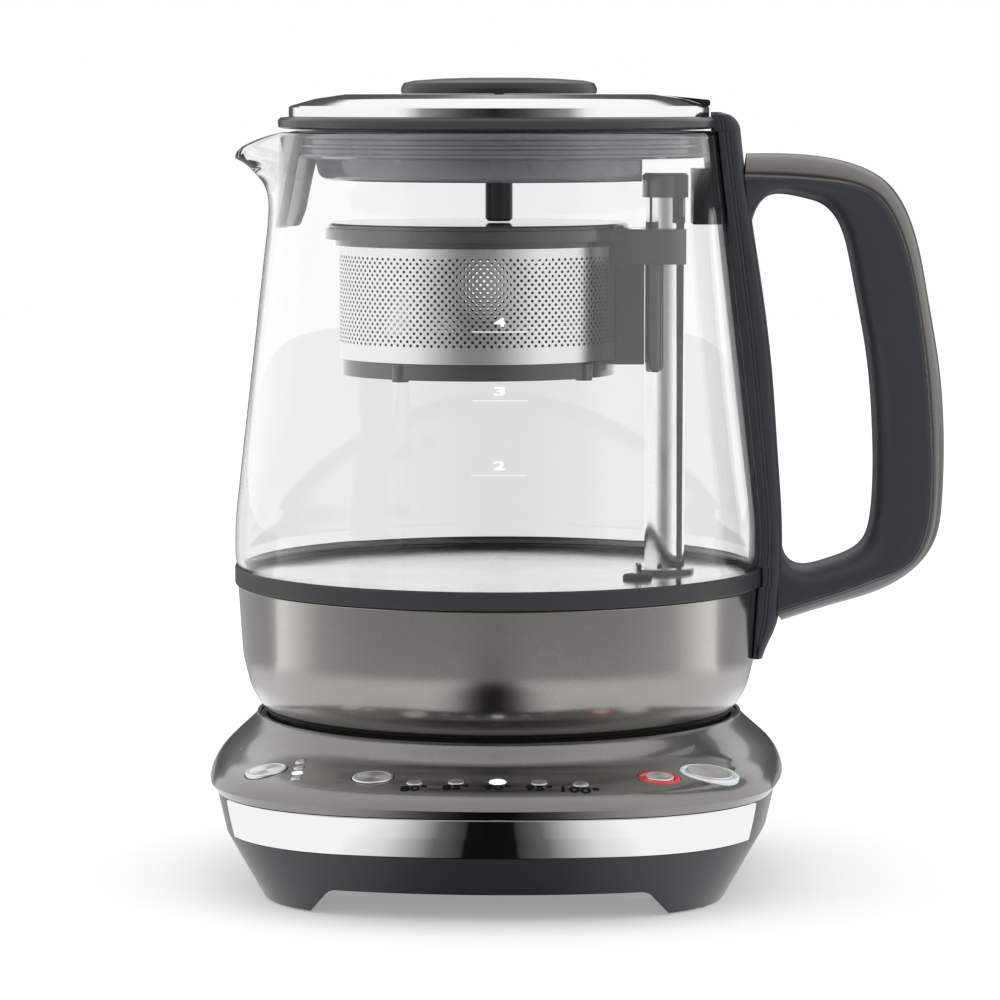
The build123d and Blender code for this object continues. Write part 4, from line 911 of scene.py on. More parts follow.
    def numbers(self) -> None:
        """Temperatures printed on the panel in front of the lights."""
        height = self.panel_height()
        for degree, seat in zip(self.degrees, self.heat_lights):
            words = f"{degree}\N{DEGREE SIGN}"
            width = self.digit_width * (len(str(degree)) + self.sign_width)
            spots, faces = lettering(words, width, self.number_height, self.print_thick)
            x = spots[:, 0] + seat.place[0]
            y = spots[:, 1] + self.number_y
            points = np.stack([x, y, height(x, y) + spots[:, 2] + self.print_lift], -1)
            fitted(piece(f"number_{degree}", points, faces), MARK_DARK, "base", "dark_plastic")

    def build(self) -> None:
        """Makes and dresses all controls."""
        for key in self.keys:
            self.key(key)
        for place, seat in enumerate(self.heat_lights):
            self.light(f"heat_light_{place + 1}", seat, self.heat_radius, place == self.lit)
        for place, seat in enumerate(self.strength_lights):
            self.light(f"strength_light_{place + 1}", seat, self.strength_radius, place == self.lit)
        self.numbers()


# --- jug ----------------------------------------------------------------------------------------
@dataclass
class Jug:
    """Glass body, metal sleeve, collar, spout shield and cup marks.

    Attributes:
        wall: thickness of the glass.
        foot: (r, z) of the glass at the sleeve.
        shoulder: (r, z) at the top of its bulged foot.
        waist_z: where the straight cone starts.
        mouth: (r, z) of its rim.
        blend: how softly foot and cone meet.
        spout_rings: rows of (z, how far the spout stands out, its half width in radians).
        rim_line: rows of (distance from the axis towards the spout, z of the rim).
        around: points round the glass.
        crowding: how much closer those points stand at the spout, from 0 to 1.
        lip: height of the rounded lip.
        steepest: most that a slope may thicken the wall, as a share of it.
        shield_low: z and half width of the spout shield's foot.
        shield_high: z and half width of its top.
        shield_corner: how far its lower corners draw in.
        shield_share: share of its height over which they do.
        shield_gap: clearance between the shield and the glass.
        marks: digits of the cup marks and the height of their lines.
        mark_centre: how far the marks stand right of the middle.
        mark_half: half length of a line.
        line_half: half width of a line.
        digit: width and height of a digit.
        digit_rise: how far a digit stands above its line.
        print_thick: thickness of the print.
        print_gap: gap under the print.
        sleeve: the sleeve, as rows of (r, z, rounding).
        collar: the collar ring, likewise.
    """

    wall: float = 2.0
    foot: tuple[float, float] = (73.7, 86.2)
    shoulder: tuple[float, float] = (75.0, 92.0)
    waist_z: float = 100.5
    mouth: tuple[float, float] = (62.4, 211.0)
    blend: float = 0.35
    spout_rings: tuple[tuple[float, float, float], ...] = (
        (178.0, 0.0, 0.42), (186.0, 0.04, 0.40), (190.0, 0.35, 0.37), (194.4, 1.5, 0.33),
        (197.2, 3.3, 0.30), (200.0, 6.2, 0.275), (201.5, 7.9, 0.265), (203.0, 10.6, 0.255),
        (204.4, 13.0, 0.25), (208.0, 16.2, 0.24), (212.0, 17.5, 0.235),
    )
    rim_line: tuple[tuple[float, float], ...] = (
        (40.0, 211.0), (61.0, 211.0), (65.1, 209.9), (69.65, 208.35), (72.8, 206.9), (74.9, 205.4),
        (76.2, 204.1), (80.0, 200.0),
    )
    around: int = 400
    crowding: float = 0.7
    lip: float = 0.95
    steepest: float = 2.2
    shield_low: tuple[float, float] = (183.9, 20.0)
    shield_high: tuple[float, float] = (210.4, 25.5)
    shield_corner: float = 7.0
    shield_share: float = 0.2
    shield_gap: float = 0.2
    marks: tuple[tuple[str, float], ...] = (("4", 157.9), ("3", 139.5), ("2", 119.6))
    mark_centre: float = 2.7
    mark_half: float = 7.5
    line_half: float = 0.12
    digit: tuple[float, float] = (3.2, 2.4)
    digit_rise: float = 2.6
    print_thick: float = 0.05
    print_gap: float = 0.04
    sleeve: tuple = (
        (66.5, 47.0, 0.6), (70.6, 53.2, 16.0), (72.95, 62.6, 26.0), (74.3, 82.9, 0.4),
        (73.1, 82.9, 0.3), (71.7, 62.6, 20.0), (65.3, 49.4, 0.5), (57.6, 49.4, 0.4),
        (57.6, 47.0, 0.4),
    )
    collar: tuple = (
        (69.5, 83.0, 0.3), (75.2, 83.0, 0.6), (75.2, 88.2, 0.5), (74.3, 88.2, 0.2),
        (74.3, 84.2, 0.2), (69.5, 84.2, 0.3),
    )

    def cone(self, height: Array) -> Array:
        """Outer radius of the round glass: straight from waist to mouth, with a bulged foot.

        The foot is a quarter of a sine wave up to the shoulder. The smaller of foot f and cone c
        counts, softly: r = f + (c - f - sqrt((c - f)^2 + blend^2)) / 2 + 0.1.

        Args:
            height: height above the counter.

        Returns:
            Distances from the axis.
        """
        share = (height - self.waist_z) / (self.mouth[1] - self.waist_z)
        upper = self.shoulder[0] + (self.mouth[0] - self.shoulder[0]) * share
        corner = np.clip((height - self.foot[1]) / (self.shoulder[1] - self.foot[1]), 0, 1)
        lower = self.foot[0] + (self.shoulder[0] - self.foot[0]) * np.sin(corner * math.pi / 2)
        gap = upper - lower
        return lower + 0.5 * (gap - np.sqrt(gap**2 + self.blend**2)) + 0.1

    def outer(self, angle: Array, height: Array) -> Array:
        """Outer radius of the glass: r = cone(z) + D(z) exp(-(a / W(z))^2).

        Args:
            angle: angle a from -X.
            height: height z above the counter.

        Returns:
            Distances from the axis.
        """
        rings = np.array(self.spout_rings)
        level = np.clip(height.ravel(), rings[0, 0], rings[-1, 0])
        depth, width = spline_through(rings[:, 0], rings[:, 1:], level).T
        depth, width = depth.reshape(height.shape), width.reshape(height.shape)
        return self.cone(height) + depth * np.exp(-((angle / width) ** 2))

    def inner(self, angle: Array, height: Array) -> Array:
        """Inner radius, for a wall of even thickness.

        It is r - wall sqrt(1 + (dr/dz)^2 + (dr/da)^2 / r^2), and the root is at most steepest.

        Args:
            angle: angle a from -X.
            height: height z above the counter.

        Returns:
            Distances from the axis.
        """
        step = 0.02
        far = self.outer(angle, height)
        rise = (self.outer(angle, height + step) - self.outer(angle, height - step)) / (2 * step)
        bend = (self.outer(angle + step, height) - self.outer(angle - step, height)) / (2 * step)
        slope = np.sqrt(1 + rise**2 + (bend / far) ** 2)
        return far - self.wall * np.minimum(slope, self.steepest)

    def glass(self) -> bpy.types.Object:
        """Glass wall: rows go up outside, over the rounded lip and down inside.

        The rim's height z is where rim_line meets the wall's own reach, r(z) cos a, found by
        repeated small steps towards it and then smoothed round the rim.
        """
        steps = self.around
        turn = np.linspace(-math.pi, math.pi, steps, endpoint=False)
        turn = turn - self.crowding * np.sin(turn)
        line = np.array(self.rim_line)
        top = np.full(steps, self.mouth[1])
        for _ in range(40):
            reach = self.outer(turn, top) * np.cos(turn)
            top = 0.7 * top + 0.3 * np.interp(reach, line[:, 0], line[:, 1])
        bell = np.exp(-(np.arange(-12, 13) ** 2) / 24.0)
        top = np.convolve(np.concatenate([top[-12:], top, top[:12]]), bell / bell.sum(), "valid")
        share = np.concatenate(
            [np.linspace(0, 0.12, 14), np.linspace(0.14, 0.7, 18), np.linspace(0.72, 1, 56)]
        )
        outer_z = self.foot[1] + share[:, None] * (top - self.lip - self.foot[1])
        outer = self.outer(turn, outer_z)
        inner_z = outer_z[::-1]
        inner = self.inner(turn, inner_z)
        swing = np.linspace(0, math.pi, 7)[1:-1, None]
        middle = (outer[-1] + inner[0]) / 2
        half = (outer[-1] - inner[0]) / 2
        radius = np.concatenate([outer, middle + half * np.cos(swing), inner])
        height = np.concatenate([outer_z, outer_z[-1] + self.lip * np.sin(swing), inner_z])
        rings = np.stack([-radius * np.cos(turn), -radius * np.sin(turn), height], -1)
        return piece("glass_wall", rings, grid_faces(len(rings), steps, True, True))

    def shield(self) -> bpy.types.Object:
        """Curved shield inside the spout, with a thick rolled edge and rounded lower corners.

        Across it, a runs from -1 to 1 and y = a times the half width. The half width grows up the
        shield, and draws in over its lowest part along a quarter of an ellipse. The outer face lies
        just inside the glass cone, and the wall thickens near each edge as exp(-(distance)^2).
        """
        low_z, low_half = self.shield_low
        high_z, high_half = self.shield_high
        up = 1 - np.cos(np.linspace(0, math.pi / 2, 12))
        rise = np.concatenate([up * self.shield_share, np.linspace(0.24, 1, 20)])[:, None]
        height = low_z + (high_z - low_z) * rise
        corner = 1 - np.sqrt(1 - np.clip(1 - rise / self.shield_share, 0, 1) ** 2)
        half = low_half + (high_half - low_half) * rise - self.shield_corner * corner
        across = np.sin(np.linspace(-1, 1, 49) * math.pi / 2)[None, :]
        edge = (1 - np.abs(across)) * half
        thick = 1.0 + 1.1 * np.exp(-((edge / 1.6) ** 2))
        thick = thick + 0.9 * np.exp(-(((height - low_z) / 1.4) ** 2))
        outside = self.cone(height) - self.wall - self.shield_gap
        y = across * half
        level = np.broadcast_to(height, y.shape)
        outer, inner = (
            np.stack([-np.sqrt(radius**2 - y**2), y, level], -1)
            for radius in (outside, outside - thick)
        )
        return sections("spout_shield", np.concatenate([outer, inner[:, ::-1]], 1))

    def on_glass(self, name: str, points: Array, faces: Array) -> None:
        """Lays a flat white print on the front of the glass; its glow is painted light.

        A point s across and z up goes to the angle s / r of the cone's radius r at z.

        Args:
            name: the piece's name.
            points: (across, up, out) in millimetres.
            faces: point numbers of its faces.
        """
        radius = self.cone(points[..., 1])
        angle = (points[..., 0] + self.mark_centre) / radius
        far = radius + points[..., 2] + self.print_gap
        spots = np.stack([far * np.sin(angle), -far * np.cos(angle), points[..., 1]], -1)
        fitted(piece(name, spots, faces), GLOWING_WHITE_PRINT, "jug", "lens_white")

    def cup_marks(self) -> None:
        """Lines and digits for 2, 3 and 4 cups."""
        for digit, height in self.marks:
            spots, faces = lettering(digit, *self.digit, self.print_thick)
            self.on_glass(f"cup_digit_{digit}", spots + (0, height + self.digit_rise, 0), faces)
            across = np.linspace(-self.mark_half, self.mark_half, 25)[:, None]
            half, thick = self.line_half, self.print_thick
            ring = np.array([(-half, 0.0), (half, 0.0), (half, thick), (-half, thick)])
            rings = np.stack(np.broadcast_arrays(across, height + ring[:, 0], ring[:, 1]), -1)
            self.on_glass(f"cup_line_{digit}", *filled(rings))

    def build(self) -> None:
        """Makes and dresses the jug's own surfaces."""
        fitted(self.glass(), GLASS, "jug", "clear_glass", "jug_glass")
        fitted(self.shield(), PLUG_PLASTIC, "jug", "grey_plastic", "spout_guard")
        sleeve = lathe("sleeve", self.sleeve, steps=240, arc=8)
        fitted(sleeve, SLEEVE_METAL, "jug", "sleeve_metal", "jug_body")
        collar = lathe("collar", self.collar, steps=240)
        fitted(collar, CHARCOAL, "jug", "charcoal_plastic", "collar_ring")
        self.cup_marks()


# --- handle -------------------------------------------------------------------------------------
@dataclass
class Handle:
    """Spine against the jug, soft grip and metallic trim of the handle.

    Attributes:
        jug: the jug whose outside the spine follows.
        loop: seam and inner edge of the grip, as rows of (x, z) and (x, z).
        outer: outer edge of the trim.
        back: back of the spine, as rows of (z, x).
        half: half width of the loop.
        groove: depth of its seams.
        spine_half: half width of the spine.
        top_z: top of the spine.
        top_round: radius of its rounded top.
        foot_round: height over which its foot is drawn in.
        sleeve_line: (z, r) of the sleeve's side at two heights, where the spine lies on it.
        sleeve_gap: clearance to the sleeve.
        glass_gap: clearance to the glass.
        collar_z: lower and upper end of the stretch in front of the collar.
        collar_x: inner face of the spine there.
        over_z: height over which the spine reaches inwards over the glass.
        over_x: inner face of the spine there.
        inner_round: radius of the spine's inner edges.
        outer_round: radius of its outer edges.
        double_groove: rows of (place, depth) across the middle of the spine's side.
    """

    jug: Jug
    loop: tuple = (
        ((69.3, 198.4), (71.2, 184)), ((76, 198.2), (72.6, 189)), ((84, 197.8), (77.4, 193.3)),
        ((91.5, 197.2), (86, 192.3)), ((99.5, 196), (92.6, 189.6)), ((106, 192.9), (97, 183)),
        ((110.5, 187.2), (99.6, 172.5)), ((116, 171.5), (102, 160)),
        ((119.4, 152), (104.3, 146.2)), ((121.6, 128), (105.9, 126)),
        ((121.9, 108.5), (105.9, 108)), ((120.6, 98.5), (104.6, 98.5)),
        ((116.4, 90), (100.6, 93)), ((107.5, 85.6), (92.5, 89.6)), ((98, 81.9), (86.2, 88.3)),
        ((88, 78.6), (81.8, 90.5)), ((79, 75.6), (80.2, 96)),
    )
    outer: tuple = (
        (69.9, 204.8), (97.4, 202.7), (109.2, 197.1), (117.6, 182.1), (121.4, 164), (124.5, 146.2),
        (126.2, 118), (125.8, 106.5), (123.9, 95.7), (110.4, 82.3), (96, 77.4), (80.5, 72.5),
    )
    back: tuple = (
        (62.2, 74.9), (64.4, 75.6), (72.1, 78.9), (80.0, 79.9), (95.7, 80.4), (120.0, 79.1),
        (146.2, 77.1), (175.0, 73.2), (205.7, 68.7), (216.4, 67.6),
    )
    half: float = 11.4
    groove: float = 0.4
    spine_half: float = 11.75
    top_z: float = 216.4
    top_round: float = 5.0
    foot_round: float = 1.0
    sleeve_line: tuple[tuple[float, float], ...] = ((62.6, 72.9), (82.95, 74.3))
    sleeve_gap: float = 0.14
    glass_gap: float = 0.12
    collar_z: tuple[float, float] = (82.8, 88.4)
    collar_x: float = 75.36
    over_z: float = 211.1
    over_x: float = 59.95
    inner_round: float = 0.8
    outer_round: float = 2.4
    double_groove: tuple[tuple[float, float], ...] = (
        (-0.9, 0), (-0.6, 0.22), (-0.3, 0), (0.1, 0), (0.4, 0.22), (0.7, 0),
    )

    @staticmethod
    def along(knots: Array, share: Array) -> Array:
        """Points of a spline through knots.

        Args:
            knots: rows that start with the (x, z) of each knot.
            share: places to read, as shares of the length of the chords.

        Returns:
            Rows like the knots'.
        """
        chords = np.linalg.norm(np.diff(knots[:, :2], axis=0), axis=1)
        run = np.concatenate([[0], np.cumsum(chords)])
        return spline_through(run / run[-1], knots, share)

    def half_section(self, start: Array, end: Array, power: float) -> Array:
        """Rings of a half-rounded bar: full width at one edge, and rounded off to the other.

        At a share u of the way from start to end, y = +-half * (1 - u^power)^(1 / power), less a
        small groove at the start that dies away as exp(-(distance / 0.45)^2).

        Args:
            start: full-width edge, shape (rings, 2).
            end: rounded edge, shape (rings, 2).
            power: the higher, the squarer.

        Returns:
            Points, shape (rings, points, 3).
        """
        share = (1 - np.cos(np.linspace(0, math.pi, 34))) / 2
        width = np.linalg.norm(end - start, axis=1)[:, None]
        y = self.half * (1 - share**power) ** (1 / power)
        y = y[None, :] - self.groove * np.exp(-((share * width / 0.45) ** 2))
        place = start[:, None, :] + (end - start)[:, None, :] * share[None, :, None]
        near = np.stack([place[..., 0], -y, place[..., 1]], -1)
        far = np.stack([place[..., 0], y, place[..., 1]], -1)
        return np.concatenate([near, far[:, -2::-1]], 1)

    def spine(self) -> bpy.types.Object:
        """Upright bar: a rounded section with a double groove, carried up the jug's side.

        Its inner face follows the jug: x = sqrt(r^2 - y^2) for the jug's radius r at each height.
        The back comes from a spline, and the top is rounded off over a quarter circle. Round the
        section, x = front (1 - share) + back share + shift and y = +-(half - pull).
        """

        def quarter(part: Array) -> Array:
            """How far a quarter circle has drawn in: 1 - sqrt(1 - part^2), part from 0 to 1."""
            return 1 - np.sqrt(1 - np.clip(part, 0, 1) ** 2)

        corner, (low_z, high_z) = self.top_round, self.collar_z
        # two levels stand close together where the inner face steps: at the collar and the mouth
        height = np.concatenate(
            [
                [62.2, 62.5, 63.2], np.linspace(65, 82.4, 8), [82.75, 82.9, 88.3, 88.45],
                np.linspace(92, 210.6, 40), [211.0, 211.2],
                self.top_z - corner * np.cos(np.linspace(0.05, math.pi / 2, 12)),
            ]
        )
        (near_z, near_r), (far_z, far_r) = self.sleeve_line
        sleeve = near_r + (height - near_z) * (far_r - near_r) / (far_z - near_z) + self.sleeve_gap
        glass = self.jug.cone(height) + self.glass_gap
        body = np.where(height < low_z, sleeve, np.where(height < high_z, self.collar_x, glass))
        knots = np.array(self.back)
        back = spline_through(knots[:, 0], knots[:, 1:], height)[:, 0]
        drop = (height - self.top_z + corner) / corner
        back -= corner * quarter(drop)
        # the sides draw in at the foot and over the last fifth of the rounded top
        foot = 1 - (height - height[0]) / self.foot_round
        half = self.spine_half - 0.8 * quarter(foot) - 0.9 * quarter(drop * 5 - 4)
        bend = np.linspace(0, math.pi / 2, 6)
        near, far = 1 - np.cos(bend), 1 - np.sin(bend)
        groove = np.array(self.double_groove)
        share = np.concatenate([np.zeros(6), np.full(6, 0.42), np.ones(6)])
        shift = np.concatenate([self.inner_round * near, groove[:, 0], -self.outer_round * far])
        pull = np.concatenate([self.inner_round * far, groove[:, 1], self.outer_round * near])
        share, shift, pull = (np.concatenate([part, part[::-1]]) for part in (share, shift, pull))
        side = np.repeat([-1.0, 1.0], 18)
        y = side * (half[:, None] - pull)
        wall = np.sqrt(body[:, None] ** 2 - y**2)
        front = np.where(height[:, None] > self.over_z, self.over_x, wall)
        x = front * (1 - share) + back[:, None] * share + shift
        rings = np.stack([x, y, np.broadcast_to(height[:, None], x.shape)], -1)
        return edges_kept(sections("handle_back", rings), 27)

    def build(self) -> None:
        """Makes and dresses the handle."""
        loop = np.array(self.loop).reshape(-1, 4)
        share = np.linspace(0, 1, 121)
        matched = self.along(loop, share)
        seam, inside = matched[:, :2], matched[:, 2:]
        grip = edges_kept(sections("grip", self.half_section(seam, inside, power=2.6)), 60)
        fitted(grip, GRIP_PLASTIC, "jug", "grip_plastic", "handle_grip")
        outside = self.along(np.array(self.outer), share)
        trim = self.half_section(seam, outside, power=2.3)
        trim = edges_kept(sections("grip_trim", trim), 60)
        fitted(trim, TRIM_PLASTIC, "jug", "trim_plastic", "handle_trim")
        fitted(self.spine(), GRIP_PLASTIC, "jug", "grip_plastic", "handle_spine")


# --- lid ----------------------------------------------------------------------------------------
@dataclass
class Lid:
    """Steel top, knob, ring and plug of the lid.

    Attributes:
        flange_radius: radius of the ring.
        notch_x: where the ring is cut flat.
        notch_half: half width of that cut.
        plug_x: where the plug is cut flat.
        plug_radius: radius of the plug under its step.
        plug_step_z: height of the step.
        ring: the ring, as rows of (r, z, rounding).
        foot: the plug, likewise.
        knob: the knob, likewise.
        top: the steel top, likewise.
    """

    flange_radius: float = 62.5
    notch_x: float = 59.62
    notch_half: float = 12.1
    plug_x: float = 40.3
    plug_radius: float = 51.9
    plug_step_z: float = 203.7
    ring: tuple = (
        (58.3, 211.6, 0.1), (61.2, 211.8, 0.4), (62.4, 212.2, 0.4), (62.5, 214.2, 0.5),
        (61.7, 214.95, 0.6), (59.6, 215.1, 0.2), (59.45, 212.5, 0.2), (58.3, 212.5, 0.1),
    )
    foot: tuple = (
        (0, 211.05, 0), (56.75, 211.05, 0.2), (56.75, 204.3, 0.5), (52.0, 203.4, 0.6),
        (50.6, 197.3, 3.2), (0, 197.0, 0),
    )
    knob: tuple = (
        (0, 221.82, 0), (27.5, 221.56, 0.15), (27.8, 222.9, 1.2), (27.0, 224.6, 1.1),
        (24.0, 225.3, 3.0), (16.0, 225.85, 14.0), (8.0, 226.08, 12.0), (0, 226.1, 0),
    )
    top: tuple = (
        (0, 221.15, 0), (43.3, 220.75, 5.0), (51.8, 219.5, 14.0), (58.6, 217.5, 0.4),
        (58.7, 215.15, 0.1), (59.4, 215.15, 0.1), (59.4, 217.75, 0.2), (58.9, 218.2, 0.3),
        (52.0, 220.15, 14.0), (43.5, 221.4, 5.0), (0, 221.8, 0),
    )

    def flange(self) -> bpy.types.Object:
        """Ring with a sloping shoulder, cut flat to x = notch_x where the handle's spine stands.

        Within notch_half of the middle, x is the smaller of r cos a and notch_x.
        """
        line = rounded(self.ring)
        edge = math.asin(self.notch_half / self.flange_radius)
        side = np.linspace(edge + 0.002, TURN - edge - 0.002, 236)
        turn = np.concatenate([np.linspace(-edge, edge, 25), side])
        radius = line[:, :1]
        x, y = radius * np.cos(turn), radius * np.sin(turn)
        x = np.where(np.abs(turn) <= edge, np.minimum(x, self.notch_x), x)
        rings = np.stack([x, y, np.broadcast_to(line[:, 1:], x.shape)], -1)
        made = piece("lid_ring", rings, grid_faces(len(line), len(turn), True, True))
        return edges_kept(made, 50)

    def plug(self) -> bpy.types.Object:
        """Plug with a stepped, rounded foot, cut flat to x = plug_x below the step.

        The cut leaves room over the basket's shaft: below plug_step_z, x is the smaller of
        r cos a and plug_x.
        """
        line = rounded(self.foot, closed=False, steps=8)
        step = np.array([(self.plug_radius, self.plug_step_z + side) for side in (0.01, -0.01)])
        place = np.searchsorted(-line[:, 1], -self.plug_step_z)
        line = np.insert(line, place, step, axis=0)[1:-1]
        rings = turned(line, 320)
        low = rings[..., 2] < self.plug_step_z
        rings[..., 0] = np.where(low, np.minimum(rings[..., 0], self.plug_x), rings[..., 0])
        return edges_kept(sections("lid_plug", rings), 40)

    def build(self) -> None:
        """Makes and dresses the lid's pieces."""
        fitted(self.plug(), PLUG_PLASTIC, "lid", "plug_plastic", "lid_skirt")
        fitted(lathe("lid_grip", self.knob), KNOB_PLASTIC, "lid", "trim_plastic", "lid_knob")
        top = lathe("lid_top", self.top, steps=256)
        fitted(top, CAP_STEEL, "lid", "polished_steel", "lid_cap")
        fitted(self.flange(), LID_RING_PLASTIC, "lid", "charcoal_plastic", "lid_flange")


# --- basket -------------------------------------------------------------------------------------
@dataclass
class Basket:
    """Perforated wall of the tea basket.

    Attributes:
        centre_x: place of the basket's axis.
        radius: outer radius of the wall.
        sheet: thickness of the sheet.
        low_z: bottom of the wall.
        high_z: top of the wall.
        first_z: bottom of the perforated belt.
        rows: rows of holes.
        pitch_z: height of a row.
        holes: holes in a row.
        hole: radius of a hole.
    """

    centre_x: float = -5.8
    radius: float = 39.4
    sheet: float = 0.4
    low_z: float = 147.15
    high_z: float = 178.95
    first_z: float = 151.6
    rows: int = 22
    pitch_z: float = 1.13
    holes: int = 118
    hole: float = 0.46

    def wall(self) -> bpy.types.Object:
        """Sheet with staggered holes.

        Each hole stands in a brick of the wall: six points of the brick's edge, shared with its
        neighbours, join six points of the hole. Odd rows are shifted by half a brick. The same
        points stand on the inner side, and six faces line each hole.
        """
        around = 2 * self.holes
        half_x = math.pi / self.holes
        lines = self.first_z + self.pitch_z * np.arange(self.rows + 1)
        levels = np.concatenate([[self.low_z], lines, [self.high_z]])
        angle = np.arange(around) * half_x
        grid = np.stack(np.broadcast_arrays(angle[None, :], levels[:, None]), -1).reshape(-1, 2)
        row, hole = np.meshgrid(np.arange(self.rows), np.arange(self.holes), indexing="ij")
        middle = 2 * hole + row % 2
        swing = np.radians([-150, -90, -30, 30, 90, 150])
        hole_angle = middle[..., None] * half_x + self.hole / self.radius * np.cos(swing)
        hole_z = (lines[:-1, None, None] + self.pitch_z / 2) + self.hole * np.sin(swing)
        rims = np.stack(np.broadcast_arrays(hole_angle, hole_z), -1).reshape(-1, 2)
        flat = np.concatenate([grid, rims])
        steps, ups = np.array([-1, 0, 1, 1, 0, -1]), np.array([0, 0, 0, 1, 1, 1])
        brick = (row[..., None] + 1 + ups) * around + (middle[..., None] + steps) % around
        brick = brick.reshape(-1, 6)
        rim = len(grid) + np.arange(rims.shape[0]).reshape(-1, 6)
        belt = np.stack([brick, np.roll(brick, -1, 1), np.roll(rim, -1, 1), rim], -1).reshape(-1, 4)
        column = np.arange(around)
        over = (column + 1) % around
        ends = np.array([[0], [self.rows + 1]]) * around
        above = ends + around
        plain = np.stack([ends + column, ends + over, above + over, above + column], -1)
        skin = np.concatenate([belt, plain.reshape(-1, 4)])
        count = len(flat)
        lining = np.stack([rim, np.roll(rim, -1, 1), np.roll(rim, -1, 1) + count, rim + count], -1)
        top = (self.rows + 2) * around
        low = np.stack([over, column, column + count, over + count], -1)
        high = np.stack([column, over, over + count, column + count], -1) + top
        faces = np.concatenate([skin, skin[:, ::-1] + count, lining.reshape(-1, 4), low, high])
        far = np.array([self.radius, self.radius - self.sheet])[:, None]
        x = self.centre_x + far * np.cos(flat[:, 0])
        y = far * np.sin(flat[:, 0])
        points = np.stack([x, y, np.broadcast_to(flat[:, 1], x.shape)], -1)
        return edges_kept(piece("pierced_wall", points, faces), 40)

    def build(self) -> None:
        """Makes and dresses the wall; its inner side and hole linings get darker steel: painted
        shade.
        """
        made = fitted(self.wall(), SATIN_STEEL, "basket", "sheet_steel", "basket_wall")
        # the inner side takes darker steel: painted shade where the basket shades itself
        made.data.materials.append(PAINTED_SHADE_STEEL.material())
        middle = np.empty(3 * len(made.data.polygons))
        made.data.polygons.foreach_get("center", middle)
        # faces inside the outer skin, the inner side and hole linings, get the painted-shade steel
        away = np.hypot(middle[0::3] / MM - self.centre_x, middle[1::3] / MM)
        painted_shade_faces = away < self.radius - self.sheet / 4
        made.data.polygons.foreach_set("material_index", painted_shade_faces.astype(np.int32))


# --- floor, light, camera -----------------------------------------------------------------------
Levels = tuple[tuple[float, float], ...]


